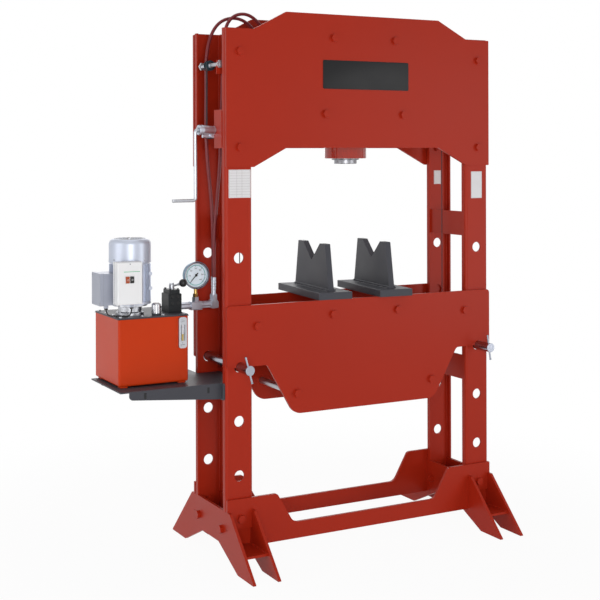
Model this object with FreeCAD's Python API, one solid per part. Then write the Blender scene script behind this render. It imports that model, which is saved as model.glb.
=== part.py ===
import FreeCAD, Part
import math
import os

# Electrically pumped four-column workshop press, in millimetres, +Z up.
# Everything is worked out about the press centre: X = 0 on the ram axis, Y = 0 half way between the
# front and rear columns, Z = 0 on the floor. The last step moves it by ORIGIN_X, so that the part's
# own origin is on the floor in the middle of its footprint. -Y is the operator's side.

V = FreeCAD.Vector
X_AXIS = V(1, 0, 0)
Y_AXIS = V(0, 1, 0)
Z_AXIS = V(0, 0, 1)

# ---------------------------------------------------------------- driving dimensions
# columns: four shallow channels with their webs outwards
COLUMN_X = 590.0            # ram axis to a column's centre line
COLUMN_WIDTH = 120.0
COLUMN_DEPTH = 30.0
COLUMN_WALL = 8.0
COLUMN_BEND = 12.0          # outside radius of the channel's bends
COLUMN_TOP = 2170.0
FRAME_HALF_DEPTH = 157.5    # centre plane to the columns' outer faces
HALF_WIDTH = COLUMN_X + COLUMN_WIDTH / 2
COLUMN_INNER = COLUMN_X - COLUMN_WIDTH / 2
HOLE_PITCH = 220.0
FIRST_HOLE_Z = 360.0
HOLE_LEVELS = 5
HOLE_RADIUS = 22.0
TIE_THICK = 8.0             # flat ties between a front and a rear column
TIE_GAP = 4.0               # between a tie's end and the column's web
TIE_SPANS = ((644.0, 752.0), (1291.0, 1399.0))

# M20 bolts of the frame
BOLT_RADIUS = 10.0
BOLT_FLATS = 30.0
BOLT_HEAD = 13.0            # height of a head or a nut
BOLT_END = 5.0              # thread showing past a nut
SPACER_RADIUS = 20.0        # distance tubes round the bolts

# flame-cut plates of the crosshead, table and base
PLATE = 12.0
CROSSHEAD_TOP = 2245.0
CROSSHEAD_BOTTOM = 1685.0
CROSSHEAD_FLAT = 377.0      # half length of the top and bottom edges between the chamfers
CHAMFER_RUN = 150.0
CHAMFER_DROP = 78.0
CROSSHEAD_COLUMN_BOLTS = (CROSSHEAD_BOTTOM + 2.0, CROSSHEAD_TOP - 170.0)
DISTANCE_BOLT = (152.0, CROSSHEAD_TOP - 99.0)
BEARER_BOLT = (192.0, CROSSHEAD_BOTTOM + 142.0)
BEARER_HALF = 30.0

TABLE_TOP = 1048.0
TABLE_DEPTH = 460.0         # height of the plate in the middle
TABLE_PLAY = 0.5            # between a table plate and a column
TABLE_SHOULDER = 470.0      # half length between the shoulders' inner ends
TABLE_FLANK = 60.0          # slope of the table's flanks, in degrees
TABLE_BOLTS = ((515.0, TABLE_TOP - 86.0), (160.0, TABLE_TOP - 61.0), (333.0, TABLE_TOP - 376.0))
TABLE_SPACER_GAP = 1.0      # between the outermost distance tube and the column

BASE_TOP = 270.0
BASE_MIDDLE = 142.0
BASE_BOTTOM = 74.0
BASE_TAB = 149.0            # underside of the ends that lap over the foot plates
BASE_SHOULDER = 165.0       # column's centre line to the inner end of the tall part
BASE_SLOPE = 75.0
BASE_BOLT_Z = 190.0

# feet
FOOT_TOP = 221.0
FOOT_TOP_HALF = 190.0
FOOT_TOE = 412.0
FOOT_HEEL = 265.0
FOOT_ARCH_HALF = 82.5
FOOT_ARCH_TOP = 85.0
FOOT_WEB_TOP = 84.0
FOOT_WEB_THICK = 10.0
FOOT_WEB_REACH = 315.0
FOOT_BOLT_Y = 115.0
FOOT_BOLT_Z = 143.0
LAP_PLAY = 0.3              # in the halved joints of feet and ties

# pins under the table
PIN_RADIUS = 20.0
PIN_Z = FIRST_HOLE_Z + 2 * HOLE_PITCH
PIN_FRONT = 104.5           # length in front of the columns
PIN_REAR = 34.5
PIN_BAR_INSET = 14.5        # tommy bar's centre from the pin's front end
PIN_BAR_RADIUS = 4.0
PIN_BAR_HALF = 56.0
PIN_BAR_TILTS = (15.0, 8.7)  # left and right, from upright
NOTCH_PLAY = 0.5

# hydraulic cylinder
BARREL_RADIUS = 92.0
BARREL_BORE = 65.0
BARREL_BOTTOM = CROSSHEAD_BOTTOM - 46.0
FLANGE_HALF_LENGTH = 225.0
FLANGE_HALF_DEPTH = 110.0
FLANGE_THICK = 40.0
FLANGE_CORNER = 15.0
CAP_THICK = 28.0
CAP_SPIGOT = 12.0
CAP_SCREWS = 8
CAP_SCREW_CIRCLE = 78.0
CAP_SCREW_FLATS = 14.0
CAP_SCREW_HEIGHT = 8.0
ROD_RADIUS = 50.0
ROD_SHOWING = 17.0          # below the gland with the ram up
STROKE = 250.0
GLAND_LENGTH = 50.0
GLAND_NOSE = 6.0            # step of the gland below the barrel
GLAND_NOSE_WALL = 10.0      # of that step round the rod
PISTON_LENGTH = 40.0
END_ROOM = 14.0             # between the raised piston and the barrel's top
RUN_PLAY = 0.05             # radial clearance of a running fit
PORT_RADIUS = 8.0

# V-blocks on the table
VEE_HALF_WIDTH = 90.0
VEE_DEPTH = 77.0
VEE_TOP = 227.0
VEE_FOOT_HALF = 181.0
VEE_TOP_HALF = 143.0
VEE_UPRIGHT_HALF = 12.5
VEE_BASE = (76.5, 226.0, 30.0)     # half width, half length and thickness of the base plate
VEE_PLACES = ((-129.0, 52.0, -5.0), (159.0, 24.0, -6.0))   # centre and turn of each block on the table
VEE_WELD = 9.0

# power unit on the left shelf
SHELF_REACH = 1083.0        # ram axis to the shelf's outer edge
SHELF_TOP = 736.0
SHELF_SHEET = 5.0
SHELF_Y = (-126.0, 225.0)
SHELF_LIP_INSET = 37.0
SHELF_LIP_OUTER = 33.0      # depth of the lip at its outer end
SHELF_LIP_INNER = 66.0
SHELF_END = 8.0             # thickness of the end plate welded to the columns
SHELF_END_FRONT = 22.0      # the end plate beyond the sheet in front
SHELF_TONGUE = 100.0        # reach of the sheet between the columns
TANK_X = (-1062.0, -765.0)
TANK_Y = (-47.5, 237.5)
TANK_FOOT = 6.0
TANK_HEIGHT = 272.0         # with its feet
TANK_WALL = 3.0
TANK_CORNER = 8.0
TANK_PAD = 30.0             # side of a pad under the tank
TANK_PAD_INSET = 10.0
LID_THICK = 5.0
LID_TOP = SHELF_TOP + TANK_HEIGHT + LID_THICK
LID_SCREW_INSET = 14.0
LID_SCREW_SIDE = 4          # screws along each side
LID_SCREW_FLATS = 11.0
LID_SCREW_HEIGHT = 5.0
SIGHT_X = -793.5
SIGHT_HEIGHT = 125.0
SIGHT_HALF = 17.0
SIGHT_DEPTH = 12.0
SIGHT_TUBE_RADIUS = 4.0
SIGHT_END = 30.0            # solid end of the gauge above and below its window
MOTOR_X = -975.0
MOTOR_Y = 59.5
BELL_HEIGHT = 45.0
MOTOR_HEIGHT = 166.0
MOTOR_RADIUS = 75.0         # core between the fins
FIN_RADIUS = 84.0
FIN_COUNT = 28
FIN_HALF = 1.25
BOSS_RISES = (64.0, 122.0)  # the foot bosses above the motor's flange
FAN_COVER_RADIUS = 84.5
FAN_COVER_HEIGHT = 96.0
MOTOR_BOTTOM = LID_TOP + BELL_HEIGHT
FAN_COVER_BOTTOM = MOTOR_BOTTOM + MOTOR_HEIGHT
SADDLE_GAP = 0.3            # between the motor and what is saddled on it
TERMINAL_STAND = 143.0      # motor's axis to the terminal box's outer face
TERMINAL_HALF = 50.0
TERMINAL_HEIGHT = 126.0
TERMINAL_LID = 14.0
TERMINAL_BOTTOM = LID_TOP + 47.0
SWITCH_X = (-1075.0, -971.0)
SWITCH_FRONT = -75.0
SWITCH_DEPTH = 53.0
SWITCH_BOTTOM = LID_TOP + 55.0
SWITCH_HEIGHT = 168.0
BUTTON_Z = SWITCH_BOTTOM + 98.5
BUTTONS = {"button_stop": -1034.0, "button_start": -1015.5}
BUTTON_HALF = 7.5
BUTTON_HALF_HEIGHT = 13.0
BUTTON_TRAVEL = 4.0
BUTTON_PLAY = 0.3
FILLER = V(-890, -12, LID_TOP)
FILLER_RADIUS = 18.5
VALVE_X = (-826.0, -769.0)
VALVE_Y = (14.0, 90.0)
VALVE_LOWER = 77.0
VALVE_UPPER = 16.0
LEVER = V(-800, 45, LID_TOP + VALVE_LOWER + VALVE_UPPER)
LEVER_RISE = 12.0           # top face of the valve to the lever's root
LEVER_RADIUS = 4.0
LEVER_KNOB = LEVER + V(36, -35, 27)
KNOB_RADIUS = 16.5
LINE_Z = LID_TOP + 20.0     # pressure and return pipes
LINE_Y = (42.5, 75.0)
PIPE_RADIUS = 12.5
PIPE_BORE = 9.5
TEE_HALF = 24.0
TEE_BODY = 17.0
UNION_FLATS = 26.0          # hexagons of the tee, the elbows and the ports
UNION_RISE = 40.0           # pipe's axis to the top of an elbow's hexagon
GAUGE_X = -695.0
GAUGE_Z = LINE_Z + 126.0
GAUGE_RADIUS = 57.0         # over the rim
GAUGE_RIM = 5.0             # rim beyond the case
GAUGE_DEPTH = 34.0
ELBOW_X = (-612.0, -600.0)
ELBOW_HALF = 17.0
FERRULE_RADIUS = 8.5
HOSE_DIAMETER = 14.0
HOSE_START_Z = LINE_Z + 113.0
PORT_REACH = 142.0          # ram axis to where the hoses start at the cylinder

# table winch and its ropes
ROPE_RADIUS = 2.0
PULLEY_RADIUS = 22.5        # a lift pulley's axis to the rope's centre line
SPOOL_RADIUS = 13.0         # the same on the guide roller and the drum
SPOOL_FLANGE = 21.0
SPOOL_HALF = 12.0
AXLE_RADIUS = 8.0
EAR_Y = -104.0              # front face of the ear that holds the roller's axle
EAR_THICK = 6.0
ROLLER_X = -648.0
ROLLER_Z = 2025.0
LIFT_Z = ROLLER_Z + SPOOL_RADIUS - PULLEY_RADIUS
DRUM_Z = 1743.0
WORM_OFFSET = 15.0          # drum's axis to the crank's
CRANK_Z = DRUM_Z + WORM_OFFSET
WINCH_Y = -58.0             # the crank's axis
WINCH_PLATE_Y = -50.0       # rear edge of the winch's plate
WINCH_PLATE_BELOW = 59.0    # the plate below and above the drum's axis
WINCH_PLATE_ABOVE = 97.0
CRANK_X = -737.0
CRANK_REACH = 286.0
CRANK_BEND = 12.0
CRANK_RADIUS = 6.75
GRIP_LENGTH = 100.0
ROPE_Y = 5.0                # the two ropes run side by side
LIFT_X = TABLE_BOLTS[0][0]

# name plate and label panels: centre x, centre z, width, height
NAME_PLATE = (6.5, (CROSSHEAD_TOP + CROSSHEAD_BOTTOM) / 2 + 27.5, 425.0, 121.0)
NAME_PLATE_THICK = 2.0
LEFT_LABEL = (-COLUMN_X + 4, 1540.0, 98.0, 114.0)
RIGHT_LABEL = (COLUMN_X, 1519.0, 59.0, 120.0)
REAR_LABEL = (COLUMN_X, 1548.0, 39.0, 64.0)
LABEL_THICK = 0.8

# the hoses' routes, each from its elbow over the column into the crosshead and down to its port
HOSE_ROUTES = {
    "hose_pressure": [
        (-612, 42.5, 1146), (-612, 42.5, 1300), (-596, 45, 1460), (-581, 46, 1620), (-577, 47, 1780),
        (-569, 46, 1940), (-566, 44, 2090), (-557, 42.5, 2200), (-509, 42.5, 2251), (-436, 42.5, 2252),
        (-366, 40, 2180), (-300, 32, 2062), (-236, 0, 1973), (-142, 0, 1973),
    ],
    "hose_return": [
        (-600, 75, 1146), (-600, 75, 1300), (-604, 83, 1470), (-623, 84, 1640), (-629, 83, 1790),
        (-626, 82.5, 1930), (-628, 83, 2060), (-606, 83.5, 2165), (-556, 83, 2228), (-474, 82.5, 2242),
        (-402, 82, 2196), (-364, 80, 2110), (-346, 78, 1990), (-336, 70, 1890), (-328, 58, 1800),
        (-285, 30, 1728), (-222, 0, 1705), (-142, 0, 1705),
    ],
}
# the cable from the terminal box to the switch box
CABLE_DIAMETER = 6.0
CABLE_FLATS = 17.0          # across the glands
CABLE_ROUTE = [
    (-1088, 26, 1048), (-1088, 25.7, 1031), (-1079.5, 17.5, 1018), (-1058.5, -3, 1017.6),
    (-1037.5, -22, 1018.1), (-1018, -39, 1018.6), (-1007.7, -48.2, 1033.2), (-1008, -48.5, 1056),
]

# worked out from the sizes above
TERMINAL_REACH = TERMINAL_STAND - MOTOR_X
ORIGIN_X = (TERMINAL_REACH - HALF_WIDTH - BOLT_HEAD) / 2
ROD_BOTTOM = BARREL_BOTTOM - GLAND_NOSE - ROD_SHOWING
BARREL_TOP = BARREL_BOTTOM + GLAND_LENGTH + STROKE + PISTON_LENGTH + END_ROOM
FLANGE_TOP = BEARER_BOLT[1] - BEARER_HALF
PORT_TOP_Z = BARREL_TOP - 20.0
PORT_LOW_Z = BARREL_BOTTOM + GLAND_LENGTH + 16.0
TABLE_INNER = FRAME_HALF_DEPTH + TABLE_PLAY
TABLE_SPACER_RADIUS = COLUMN_INNER - TABLE_BOLTS[0][0] - TABLE_SPACER_GAP
GAUGE_FRONT = LINE_Y[0] - GAUGE_DEPTH / 2
DIAL_RADIUS = GAUGE_RADIUS - GAUGE_RIM - 2.5
DIAL_FACE = GAUGE_FRONT + 12.0
LEVER_ROOT = LEVER + V(0, 0, LEVER_RISE)
ROPE_LOW_Z = TABLE_BOLTS[0][1] + TABLE_SPACER_RADIUS + 14.0
PULLEY_X = (-LIFT_X - PULLEY_RADIUS, LIFT_X - PULLEY_RADIUS)


# ---------------------------------------------------------------- helpers
def box(x0, x1, y0, y1, z0, z1):
    return Part.makeBox(x1 - x0, y1 - y0, z1 - z0, V(x0, y0, z0))


def rod(radius, start, end):
    along = end - start
    return Part.makeCylinder(radius, along.Length, start, along)


def tube(outer, inner, start, end):
    return rod(outer, start, end).cut(rod(inner, start, end))


def hexagon(across_flats, start, end):
    """A hexagonal bar from start to end."""
    along = end - start
    corner = across_flats / math.sqrt(3)
    angles = [k * math.pi / 3 for k in range(7)]
    points = [V(corner * math.cos(angle), corner * math.sin(angle), 0) for angle in angles]
    bar = Part.Face(Part.makePolygon(points)).extrude(V(0, 0, along.Length))
    bar.Placement = FreeCAD.Placement(start, FreeCAD.Rotation(Z_AXIS, along))
    return bar


def rounded_wire(points, radii):
    """A closed outline whose corner k is rounded with radii[k]; 0 leaves it sharp."""
    count = len(points)
    joints = []
    for k in range(count):
        corner = points[k]
        if radii[k] == 0:
            joints.append((corner, None, corner))
            continue
        before = (points[k - 1] - corner).normalize()
        after = (points[(k + 1) % count] - corner).normalize()
        half = before.getAngle(after) / 2
        reach = radii[k] / math.tan(half)
        middle = (before + after).normalize()
        crown = corner + middle * (radii[k] / math.sin(half) - radii[k])
        joints.append((corner + before * reach, crown, corner + after * reach))
    edges = []
    for k in range(count):
        start, crown, end = joints[k]
        following = joints[(k + 1) % count][0]
        if crown is not None:
            edges.append(Part.Arc(start, crown, end).toShape())
        edges.append(Part.LineSegment(end, following).toShape())
    return Part.Wire(edges)


def extruded(points, radii, along):
    return Part.Face(rounded_wire(points, radii)).extrude(along)


def plate_xy(outline, z0, z1):
    """A bar along Z from the (x, y, corner radius) points of its section."""
    return extruded([V(x, y, z0) for x, y, _ in outline], [r for _, _, r in outline], V(0, 0, z1 - z0))


def plate_xz(outline, y0, y1):
    """A plate facing Y from (x, z, corner radius) points."""
    return extruded([V(x, y0, z) for x, z, _ in outline], [r for _, _, r in outline], V(0, y1 - y0, 0))


def plate_yz(outline, x0, x1):
    """A plate facing X from (y, z, corner radius) points."""
    return extruded([V(x0, y, z) for y, z, _ in outline], [r for _, _, r in outline], V(x1 - x0, 0, 0))


def mirrored_outline(right_half):
    """An outline symmetric about X = 0 from its right half, listed from bottom to top."""
    left_half = [(-x, z, radius) for x, z, radius in reversed(right_half)]
    return right_half + left_half


def turned(profile, base, along=Z_AXIS):
    """A solid of revolution from (radius, height) points above base."""
    points = [V(r, 0, h) for r, h in profile]
    face = Part.Face(Part.makePolygon(points + [points[0]]))
    solid = face.revolve(V(0, 0, 0), Z_AXIS, 360)
    solid.Placement = FreeCAD.Placement(base, FreeCAD.Rotation(Z_AXIS, along))
    return solid


def straight_edges(shape, axis):
    """The edges of a box that run along an axis."""
    return [e for e in shape.Edges if abs(e.tangentAt(e.FirstParameter).dot(axis)) > 0.999]


def edges_at_z(shape, z):
    return [e for e in shape.Edges if abs(e.BoundBox.ZMin - z) < 0.01 and abs(e.BoundBox.ZMax - z) < 0.01]


def edges_at_y(shape, y):
    return [e for e in shape.Edges if abs(e.BoundBox.YMin - y) < 0.01 and abs(e.BoundBox.YMax - y) < 0.01]


def flip_y(shape):
    return shape.mirror(V(0, 0, 0), Y_AXIS)


def flip_x(shape):
    return shape.mirror(V(0, 0, 0), X_AXIS)


def group(shapes):
    return Part.makeCompound(shapes)


def save(node, shape):
    placed = shape.copy()
    placed.translate(V(ORIGIN_X, 0, 0))
    placed.exportStep("parts/" + node + ".step")


def bolt(seat, far, grip_end):
    """An M20 bolt with its head on seat, its shank towards far and a nut that starts at grip_end."""
    along = (far - seat).normalize()
    head = hexagon(BOLT_FLATS, seat - along * BOLT_HEAD, seat)
    nut = hexagon(BOLT_FLATS, grip_end, grip_end + along * BOLT_HEAD)
    shank = rod(BOLT_RADIUS, seat, grip_end + along * (BOLT_HEAD + BOLT_END))
    return shank.fuse([head, nut]).removeSplitter()


def through_bolt(x, z, half_depth):
    """A bolt along Y with its head in front and its nut behind, both against faces half_depth out."""
    return bolt(V(x, -half_depth, z), V(x, half_depth, z), V(x, half_depth, z))


def short_bolt(x, z):
    """A bolt along +Y through a frame plate and a column's web, with its nut inside the column."""
    seat = V(x, -FRAME_HALF_DEPTH - PLATE, z)
    return bolt(seat, seat + Y_AXIS, V(x, -FRAME_HALF_DEPTH + COLUMN_WALL, z))


def cord(name, points, diameter):
    """A round cord along straight runs and tangent arcs; prints its tightest arc and volume's error."""
    corners = [V(*point) for point in points]
    edges = []
    start = corners[0]
    tightest = None
    for k in range(1, len(corners) - 1):
        before = corners[k] - corners[k - 1]
        after = corners[k + 1] - corners[k]
        half_turn = before.getAngle(after) / 2
        reach = 0.45 * min(before.Length, after.Length)
        radius = reach / math.tan(half_turn)
        tightest = radius if tightest is None else min(tightest, radius)
        arc_start = corners[k] - before.normalize() * reach
        arc_end = corners[k] + after.normalize() * reach
        inward = (arc_start + arc_end) * 0.5 - corners[k]
        crown = corners[k] + inward.normalize() * (radius / math.cos(half_turn) - radius)
        edges.append(Part.LineSegment(start, arc_start).toShape())
        edges.append(Part.Arc(arc_start, crown, arc_end).toShape())
        start = arc_end
    edges.append(Part.LineSegment(start, corners[-1]).toShape())
    path = Part.Wire(edges)
    section = Part.Wire([Part.Circle(corners[0], corners[1] - corners[0], diameter / 2).toShape()])
    solid = path.makePipeShell([section], True, False)
    ratio = solid.Volume / (path.Length * math.pi * diameter ** 2 / 4)
    print(name, "tightest", round(tightest, 1), "length", round(path.Length, 1), "volume", round(ratio, 4))
    return solid


# ---------------------------------------------------------------- columns
def column():
    """The front right column: a pressed channel, coped at its foot to stand between two foot plates."""
    front = -FRAME_HALF_DEPTH
    tip = front + COLUMN_DEPTH
    web = front + COLUMN_WALL
    inner_bend = COLUMN_BEND - COLUMN_WALL
    section = [
        (COLUMN_INNER, tip, 0),
        (COLUMN_INNER, front, COLUMN_BEND),
        (HALF_WIDTH, front, COLUMN_BEND),
        (HALF_WIDTH, tip, 0),
        (HALF_WIDTH - COLUMN_WALL, tip, 0),
        (HALF_WIDTH - COLUMN_WALL, web, inner_bend),
        (COLUMN_INNER + COLUMN_WALL, web, inner_bend),
        (COLUMN_INNER + COLUMN_WALL, tip, 0),
    ]
    channel = plate_xy(section, FOOT_WEB_TOP, COLUMN_TOP)
    cope = PLATE + LAP_PLAY
    for edge in (COLUMN_INNER, HALF_WIDTH - cope):
        channel = channel.cut(box(edge, edge + cope, front, tip, FOOT_WEB_TOP, FOOT_TOP + LAP_PLAY))
    holes = [(HOLE_RADIUS, FIRST_HOLE_Z + level * HOLE_PITCH) for level in range(HOLE_LEVELS)]
    holes += [(BOLT_RADIUS, z) for z in (BASE_BOLT_Z,) + CROSSHEAD_COLUMN_BOLTS]
    for radius, z in holes:
        channel = channel.cut(rod(radius, V(COLUMN_X, front, z), V(COLUMN_X, tip, z)))
    return channel


def column_tie(side, span):
    """A flat plate between a front and a rear column, against their inner flanges' inner faces."""
    inner = COLUMN_INNER + COLUMN_WALL
    x0, x1 = sorted((side * inner, side * (inner + TIE_THICK)))
    reach = FRAME_HALF_DEPTH - COLUMN_WALL - TIE_GAP
    return box(x0, x1, -reach, reach, span[0], span[1])


# ---------------------------------------------------------------- crosshead
def crosshead_bolt_points():
    """The (x, z) places of the bolts through the columns and of those between the two plates."""
    at_columns = [(side * COLUMN_X, z) for side in (-1, 1) for z in CROSSHEAD_COLUMN_BOLTS]
    between = [(side * x, z) for side in (-1, 1) for x, z in (DISTANCE_BOLT, BEARER_BOLT)]
    return at_columns, between


def crosshead_plate():
    """The front plate; the rear one is its mirror image."""
    ramp = CROSSHEAD_FLAT + CHAMFER_RUN
    half = [
        (CROSSHEAD_FLAT, CROSSHEAD_BOTTOM, 6),
        (ramp, CROSSHEAD_BOTTOM - CHAMFER_DROP, 6),
        (HALF_WIDTH, CROSSHEAD_BOTTOM - CHAMFER_DROP, 4),
        (HALF_WIDTH, CROSSHEAD_TOP - CHAMFER_DROP, 4),
        (ramp, CROSSHEAD_TOP - CHAMFER_DROP, 6),
        (CROSSHEAD_FLAT, CROSSHEAD_TOP, 6),
    ]
    plate = plate_xz(mirrored_outline(half), -FRAME_HALF_DEPTH - PLATE, -FRAME_HALF_DEPTH)
    at_columns, between = crosshead_bolt_points()
    for x, z in at_columns + between:
        start = V(x, -FRAME_HALF_DEPTH - PLATE, z)
        plate = plate.cut(rod(BOLT_RADIUS, start, start + V(0, PLATE, 0)))
    return plate


def crosshead_bolts():
    at_columns, between = crosshead_bolt_points()
    bolts = [through_bolt(x, z, FRAME_HALF_DEPTH + PLATE) for x, z in between]
    for x, z in at_columns:
        bolts += [short_bolt(x, z), flip_y(short_bolt(x, z))]
    return bolts


def crosshead_spacers():
    """Two distance tubes above and two bearer bars that the cylinder's flange pushes up against."""
    depth = V(0, 2 * FRAME_HALF_DEPTH, 0)
    pieces = []
    for side in (-1, 1):
        start = V(side * DISTANCE_BOLT[0], -FRAME_HALF_DEPTH, DISTANCE_BOLT[1])
        pieces.append(tube(SPACER_RADIUS, BOLT_RADIUS, start, start + depth))
        x = side * BEARER_BOLT[0]
        z = BEARER_BOLT[1]
        bar = box(x - BEARER_HALF, x + BEARER_HALF, -FRAME_HALF_DEPTH, FRAME_HALF_DEPTH,
                  z - BEARER_HALF, z + BEARER_HALF)
        start = V(x, -FRAME_HALF_DEPTH, z)
        pieces.append(bar.cut(rod(BOLT_RADIUS, start, start + depth)))
    return pieces


# ---------------------------------------------------------------- cylinder and ram
def cylinder_barrel():
    """The bored barrel with its welded flange; both ports are on the left."""
    body = rod(BARREL_RADIUS, V(0, 0, BARREL_BOTTOM), V(0, 0, BARREL_TOP))
    body = body.makeChamfer(3, edges_at_z(body, BARREL_BOTTOM))
    flange = box(-FLANGE_HALF_LENGTH, FLANGE_HALF_LENGTH, -FLANGE_HALF_DEPTH, FLANGE_HALF_DEPTH,
                 FLANGE_TOP - FLANGE_THICK, FLANGE_TOP)
    body = body.fuse(flange.makeFillet(FLANGE_CORNER, straight_edges(flange, Z_AXIS))).removeSplitter()
    body = body.cut(rod(BARREL_BORE, V(0, 0, BARREL_BOTTOM), V(0, 0, BARREL_TOP)))
    for z in (PORT_LOW_Z, PORT_TOP_Z):
        body = body.cut(rod(PORT_RADIUS, V(-BARREL_RADIUS, 0, z), V(0, 0, z)))
    return body


def cylinder_cap():
    top = V(0, 0, BARREL_TOP + CAP_THICK)
    cap = rod(BARREL_RADIUS, V(0, 0, BARREL_TOP), top)
    spigot = rod(BARREL_BORE, V(0, 0, BARREL_TOP - CAP_SPIGOT), V(0, 0, BARREL_TOP))
    screws = []
    for k in range(CAP_SCREWS):
        angle = (k + 0.5) * 2 * math.pi / CAP_SCREWS
        centre = top + V(CAP_SCREW_CIRCLE * math.cos(angle), CAP_SCREW_CIRCLE * math.sin(angle), 0)
        screws.append(hexagon(CAP_SCREW_FLATS, centre, centre + V(0, 0, CAP_SCREW_HEIGHT)))
    return cap.fuse([spigot] + screws).removeSplitter()


def cylinder_gland():
    """The gland in the barrel's lower end, with a stepped nose round the rod."""
    bore = ROD_RADIUS + RUN_PLAY
    nose = ROD_RADIUS + GLAND_NOSE_WALL
    profile = [(bore, -GLAND_NOSE), (nose - 2, -GLAND_NOSE), (nose, -GLAND_NOSE + 2), (nose, 0),
               (BARREL_BORE, 0), (BARREL_BORE, GLAND_LENGTH), (bore, GLAND_LENGTH)]
    return turned(profile, V(0, 0, BARREL_BOTTOM))


def piston_rod():
    """The ram: a chromed rod with a piston head, raised to the top of its stroke."""
    head_bottom = BARREL_TOP - END_ROOM - PISTON_LENGTH
    shaft = rod(ROD_RADIUS, V(0, 0, ROD_BOTTOM), V(0, 0, head_bottom))
    shaft = shaft.makeChamfer(2, edges_at_z(shaft, ROD_BOTTOM))
    fit = BARREL_BORE - RUN_PLAY
    groove = fit - 5
    skirt = fit - 10
    profile = [(0, 0), (fit, 0), (fit, 10), (groove, 10), (groove, 18), (fit, 18), (fit, 25), (skirt, 25),
               (skirt, PISTON_LENGTH), (0, PISTON_LENGTH)]
    return shaft.fuse(turned(profile, V(0, 0, head_bottom))).removeSplitter()


# ---------------------------------------------------------------- table
def table_plate():
    """The front plate: shoulders that ride on the pins in half-round notches, and a deep middle."""
    bottom = TABLE_TOP - TABLE_DEPTH
    foot = TABLE_SHOULDER - (PIN_Z - bottom) / math.tan(math.radians(TABLE_FLANK))
    half = [
        (foot, bottom, 60),
        (TABLE_SHOULDER, PIN_Z, 20),
        (HALF_WIDTH, PIN_Z, 8),
        (HALF_WIDTH, TABLE_TOP, 16),
    ]
    plate = plate_xz(mirrored_outline(half), -TABLE_INNER - PLATE, -TABLE_INNER)
    for side in (-1, 1):
        holes = [(PIN_RADIUS + NOTCH_PLAY, COLUMN_X, PIN_Z)]
        holes += [(BOLT_RADIUS, x, z) for x, z in TABLE_BOLTS]
        for radius, x, z in holes:
            start = V(side * x, -TABLE_INNER - PLATE, z)
            plate = plate.cut(rod(radius, start, start + V(0, PLATE, 0)))
    return plate


def table_spacers():
    pieces = []
    for side in (-1, 1):
        for x, z in TABLE_BOLTS:
            start = V(side * x, -TABLE_INNER, z)
            pieces.append(tube(TABLE_SPACER_RADIUS, BOLT_RADIUS, start, start + V(0, 2 * TABLE_INNER, 0)))
    return pieces


def table_bolts():
    places = [(side * x, z) for side in (-1, 1) for x, z in TABLE_BOLTS]
    return group([through_bolt(x, z, TABLE_INNER + PLATE) for x, z in places])


def support_pin(side, tilt):
    """A plain pin through a front and a rear column, with a tommy bar through its front end."""
    x = side * COLUMN_X
    front = -FRAME_HALF_DEPTH - PIN_FRONT
    pin = rod(PIN_RADIUS, V(x, front, PIN_Z), V(x, FRAME_HALF_DEPTH + PIN_REAR, PIN_Z))
    pin = pin.makeChamfer(1.5, edges_at_y(pin, front) + edges_at_y(pin, FRAME_HALF_DEPTH + PIN_REAR))
    lean = math.radians(tilt)
    arm = V(-math.sin(lean), 0, math.cos(lean)) * PIN_BAR_HALF
    centre = V(x, front + PIN_BAR_INSET, PIN_Z)
    return pin.fuse(rod(PIN_BAR_RADIUS, centre - arm, centre + arm)).removeSplitter()


def vee_block(x, y, turn):
    """A welded V-block on the table: a base plate and an upright with a right-angled notch."""
    half_x, half_y, thick = VEE_BASE
    base = box(-half_x, half_x, -half_y, half_y, 0, thick)
    base = base.makeChamfer(1.5, edges_at_z(base, thick))
    outline = [
        (-VEE_FOOT_HALF, thick, 0),
        (VEE_FOOT_HALF, thick, 0),
        (VEE_TOP_HALF, VEE_TOP, 4),
        (VEE_HALF_WIDTH, VEE_TOP, 3),
        (0, VEE_TOP - VEE_DEPTH, 3),
        (-VEE_HALF_WIDTH, VEE_TOP, 3),
        (-VEE_TOP_HALF, VEE_TOP, 4),
    ]
    upright = plate_yz(outline, -VEE_UPRIGHT_HALF, VEE_UPRIGHT_HALF)
    beads = []
    for side in (-1, 1):
        root = side * VEE_UPRIGHT_HALF
        corners = [V(root, -VEE_FOOT_HALF, thick), V(root + side * VEE_WELD, -VEE_FOOT_HALF, thick),
                   V(root, -VEE_FOOT_HALF, thick + VEE_WELD)]
        bead = Part.Face(Part.makePolygon(corners + [corners[0]]))
        beads.append(bead.extrude(V(0, 2 * VEE_FOOT_HALF, 0)))
    block = base.fuse([upright] + beads).removeSplitter()
    block.Placement = FreeCAD.Placement(V(x, y, TABLE_TOP), FreeCAD.Rotation(Z_AXIS, turn))
    return block


# ---------------------------------------------------------------- base
def base_tie():
    """The front tie: tall ends bolted to the columns, halved over the foot plates."""
    shoulder = COLUMN_X - BASE_SHOULDER
    half = [
        (COLUMN_INNER - LAP_PLAY, BASE_BOTTOM, 3),
        (COLUMN_INNER - LAP_PLAY, BASE_TAB + LAP_PLAY, 0),
        (HALF_WIDTH, BASE_TAB + LAP_PLAY, 3),
        (HALF_WIDTH, BASE_TOP, 3),
        (shoulder, BASE_TOP, 20),
        (shoulder - BASE_SLOPE, BASE_MIDDLE, 40),
    ]
    plate = plate_xz(mirrored_outline(half), -FRAME_HALF_DEPTH - PLATE, -FRAME_HALF_DEPTH)
    for side in (-1, 1):
        start = V(side * COLUMN_X, -FRAME_HALF_DEPTH - PLATE, BASE_BOLT_Z)
        plate = plate.cut(rod(BOLT_RADIUS, start, start + V(0, PLATE, 0)))
    return plate


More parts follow.
